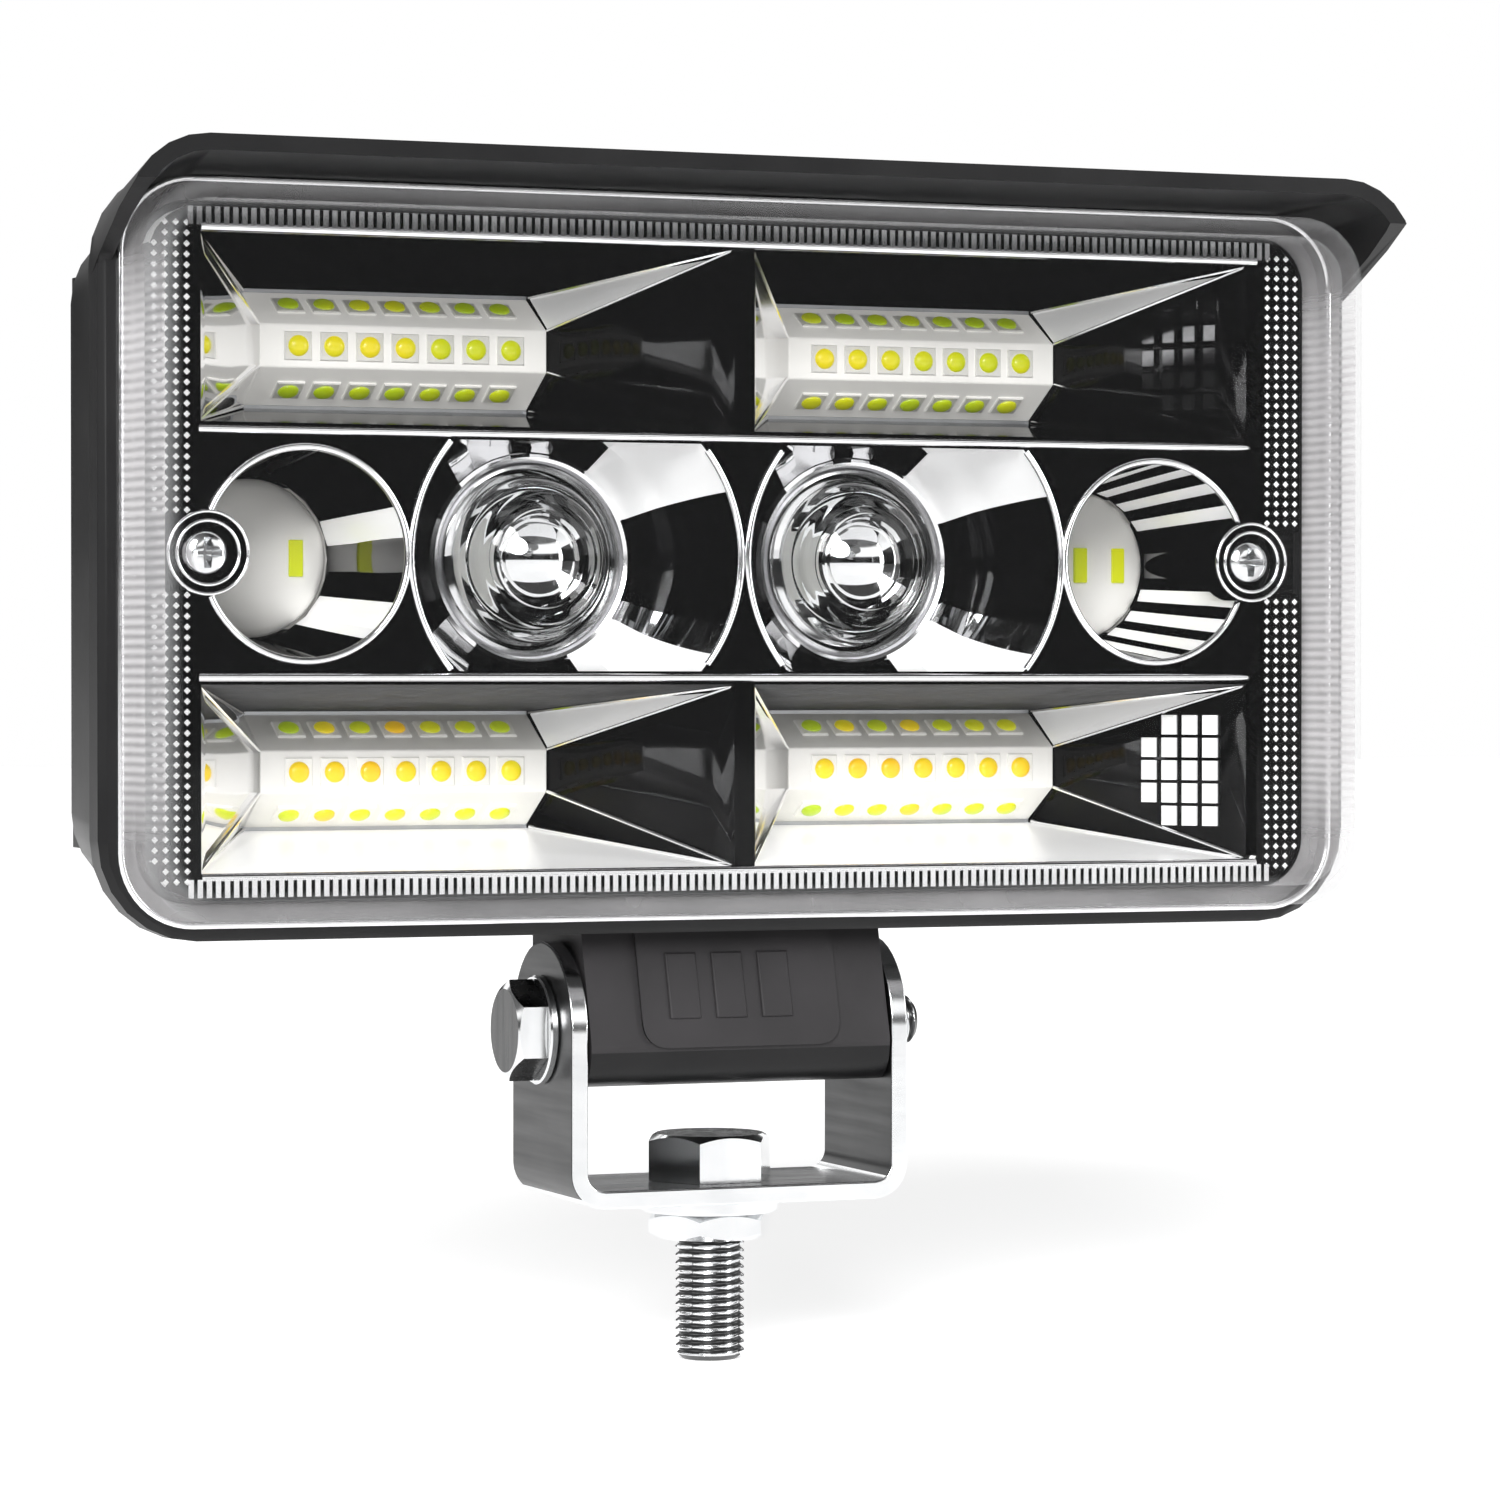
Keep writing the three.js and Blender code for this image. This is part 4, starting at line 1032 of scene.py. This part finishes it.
def cross_head_screw(name, node):
    """A pan-head screw with a cross recess."""
    low, high = span(node)
    radius = (high.x - low.x) / 2
    x, z = middle(node, "x"), middle(node, "z")
    head, shank = low.y + radius * 0.62, radius * 0.52
    profile = [(low.y, 0), (low.y, radius * 0.5), (low.y + 0.12 * radius, radius * 0.8),
               (low.y + 0.3 * radius, radius * 0.96), (low.y + 0.42 * radius, radius),
               (head, radius), (head, shank), (high.y, shank), (high.y, 0)]
    obj = piece(name, lathe(profile, (x, 0, z), "y", 48), TURNED_STEEL, "head", 40,
                replaces=[node])
    arm, width, deep = radius * 0.62, radius * 0.15, radius * 0.5
    for kind, (w, h) in (("a", (arm, width)), ("b", (width, arm))):
        rings = []
        for y, share in ((low.y - 0.5, 1.0), (low.y, 1.0), (low.y + deep, 0.45)):
            rings.append([(x + u * w * share, y, z + v * h * share) for u, v in SQUARE])
        carve(obj, piece(name + kind, loft(rings), RECESS_SHADE), "DIFFERENCE")


def hidden_pieces():
    """What the lens hardly shows: boards, driver parts and their screws."""
    dress("center_board", BOARD)
    dress("driver_board", GREEN_BOARD)
    dress("driver_inductor", COPPER)
    dress("driver_capacitor", RUBBER)
    dress("lens_seal", RUBBER)
    for name, _ in SIDES:
        for holds in ("reflector", "board", "driver"):
            cross_head_screw(f"{holds}_panhead_{name}", f"{holds}_screw_{name}")


# ---------------------------------------------------------------- back of the housing

def gland_piece():
    """A nut-like foot, then four rubber ribs that narrow towards the cord's hole."""
    low, high = span("cable_gland")
    bore, seat, rib = 3.1, high.y - 9.95, 1.1
    profile = [(low.y, bore), (low.y, 4.8), (seat, 4.8), (seat, 7.6), (seat + 0.4, 7.95),
               (seat + 4.4, 7.95), (seat + 4.8, 6.9), (seat + 5.4, 6.6)]
    for i in range(4):
        start, radius = seat + 5.4 + i * rib, 6.6 - i * 0.5
        profile += [(start + 0.7, radius - 0.1), (start + 0.75, radius - 0.45), (start + rib, radius - 0.5)]
    profile += [(high.y - 0.2, 4.3), (high.y, 4.0), (high.y, bore)]
    centre = (0, 0, middle("cable_gland", "z"))
    piece("gland_body", ring_lathe(profile, centre, "y", 64), RUBBER, "head", 30,
          replaces=["cable_gland"])


def vent_piece():
    """A round cap with a groove round its centre."""
    low, high = span("breather_vent")
    cap, groove = high.y - 3, high.y - 0.4
    profile = [(low.y, 0), (low.y, 2.8), (cap, 2.8), (cap, 5.7), (cap + 0.3, 6), (cap + 2.3, 6),
               (cap + 2.8, 5.6), (high.y, 4.9), (high.y, 4.2), (groove, 4.1), (groove, 1.5), (high.y, 1.4),
               (high.y, 0)]
    centre = (0, 0, middle("breather_vent", "z"))
    piece("vent_cap", lathe(profile, centre, "y", 48), RUBBER, "head", 30,
          replaces=["breather_vent"])


# ---------------------------------------------------------------- stage, light and camera

def pale_floor():
    mat, tree, shader = material("pale_floor", (0.9, 0.9, 0.9), 0.9, Specular_IOR_Level=0.0)
    shader.inputs["Emission Color"].default_value = (1, 1, 1, 1)
    shader.inputs["Emission Strength"].default_value = 0.45
    paint(tree, shader, noise(tree, 3, 2), [(0.3, (0.89,) * 3), (0.7, (0.91,) * 3)])
    half, z = 4.0, STUD_LOW.z * MM
    mesh = bpy.data.meshes.new("floor")
    mesh.from_pydata([(u * half, v * half, z) for u, v in SQUARE], [], [[0, 1, 2, 3]])
    mesh.materials.append(mat)
    add_to_scene("floor", mesh)


def aim(obj, location, forward):
    obj.location = location
    obj.rotation_mode = "QUATERNION"
    obj.rotation_quaternion = forward.to_track_quat("-Z", "Y")


def light(name, kind, energy, location, **settings):
    """A light that points at the lamp head."""
    lamp = bpy.data.lights.new(name, kind)
    lamp.energy = energy
    for setting, value in settings.items():
        setattr(lamp, setting, value)
    aim(add_to_scene(name, lamp), location, Vector((0, 0, HEAD_Z * MM)) - Vector(location))


def backdrop():
    """A white room to the eye. What shines sees a dark band at eye level under a bright ceiling."""
    world = bpy.data.worlds.new("studio")
    world.use_nodes = True
    bpy.context.scene.world = world
    tree = world.node_tree
    seen, lit = tree.nodes["Background"], tree.nodes.new("ShaderNodeBackground")
    seen.inputs["Color"].default_value = (1, 1, 1, 1)
    seen.inputs["Strength"].default_value = 1.0
    lit.inputs["Strength"].default_value = 1.0
    height = spread(tree, split_place(tree, "Generated")["Z"], 0, 1, -1, 1)
    bands = [(0.0, 0.9), (0.47, 0.8), (0.485, 0.04), (0.58, 0.03), (0.60, 1.3), (0.72, 1.3), (0.75, 0.1),
             (1.0, 0.1)]
    product = tree.nodes.new("ShaderNodeMix")
    product.data_type = "RGBA"
    product.blend_type = "MULTIPLY"
    product.inputs["Factor"].default_value = 1
    tree.links.new(ramp(tree, height, [(at, (v, v, v)) for at, v in bands]), product.inputs["A"])
    panels = ramp(tree, noise(tree, 2.1, 0), [(0.44, (0.12,) * 3), (0.47, (1,) * 3)])
    tree.links.new(panels, product.inputs["B"])
    tree.links.new(product.outputs["Result"], lit.inputs["Color"])
    path, mix = tree.nodes.new("ShaderNodeLightPath"), tree.nodes.new("ShaderNodeMixShader")
    tree.links.new(path.outputs["Is Camera Ray"], mix.inputs["Fac"])
    tree.links.new(lit.outputs["Background"], mix.inputs[1])
    tree.links.new(seen.outputs["Background"], mix.inputs[2])
    tree.links.new(mix.outputs["Shader"], tree.nodes["World Output"].inputs["Surface"])


def lights():
    """A far, wide key that falls evenly on the whole floor, and two weak panels."""
    light("key_light", "SUN", 3.6, (-0.5, -0.9, 0.5), angle=math.radians(28))
    light("fill_light", "AREA", 4, (0.9, -0.6, 0.35), shape="RECTANGLE", size=0.25, size_y=0.6)
    light("rim_light", "AREA", 2, (0.1, 0.8, 0.7), shape="RECTANGLE", size=0.8, size_y=0.3)


def camera():
    """The view is from the lamp's left, 0.6 m away, and slightly from above."""
    data = bpy.data.cameras.new("camera")
    data.sensor_width = 36
    data.lens = 124.8
    obj = add_to_scene("camera", data)
    azimuth, pitch = math.radians(22), math.radians(0.77)
    ahead = (math.sin(azimuth) * math.cos(pitch), math.cos(azimuth) * math.cos(pitch), -math.sin(pitch))
    aim(obj, (-0.2197, -0.5562, 0.0594), Vector(ahead))
    bpy.context.scene.camera = obj


bpy.context.scene.view_settings.view_transform = "Standard"
camera()
backdrop()
lights()
pale_floor()
stud_pieces()
pivot_pieces()
bracket_piece()
housing_pieces()
lug_badge()
lens_pieces()
reflector_pieces()
for level_name, level in LEVELS[::-1]:
    for side_name, _ in SIDES:
        bar_pieces(level_name, level, side_name)
for side_name, side in SIDES:
    condenser_pieces(side_name, side)
    bowl_light_pieces(side_name, side)
hidden_pieces()
gland_piece()
vent_piece()
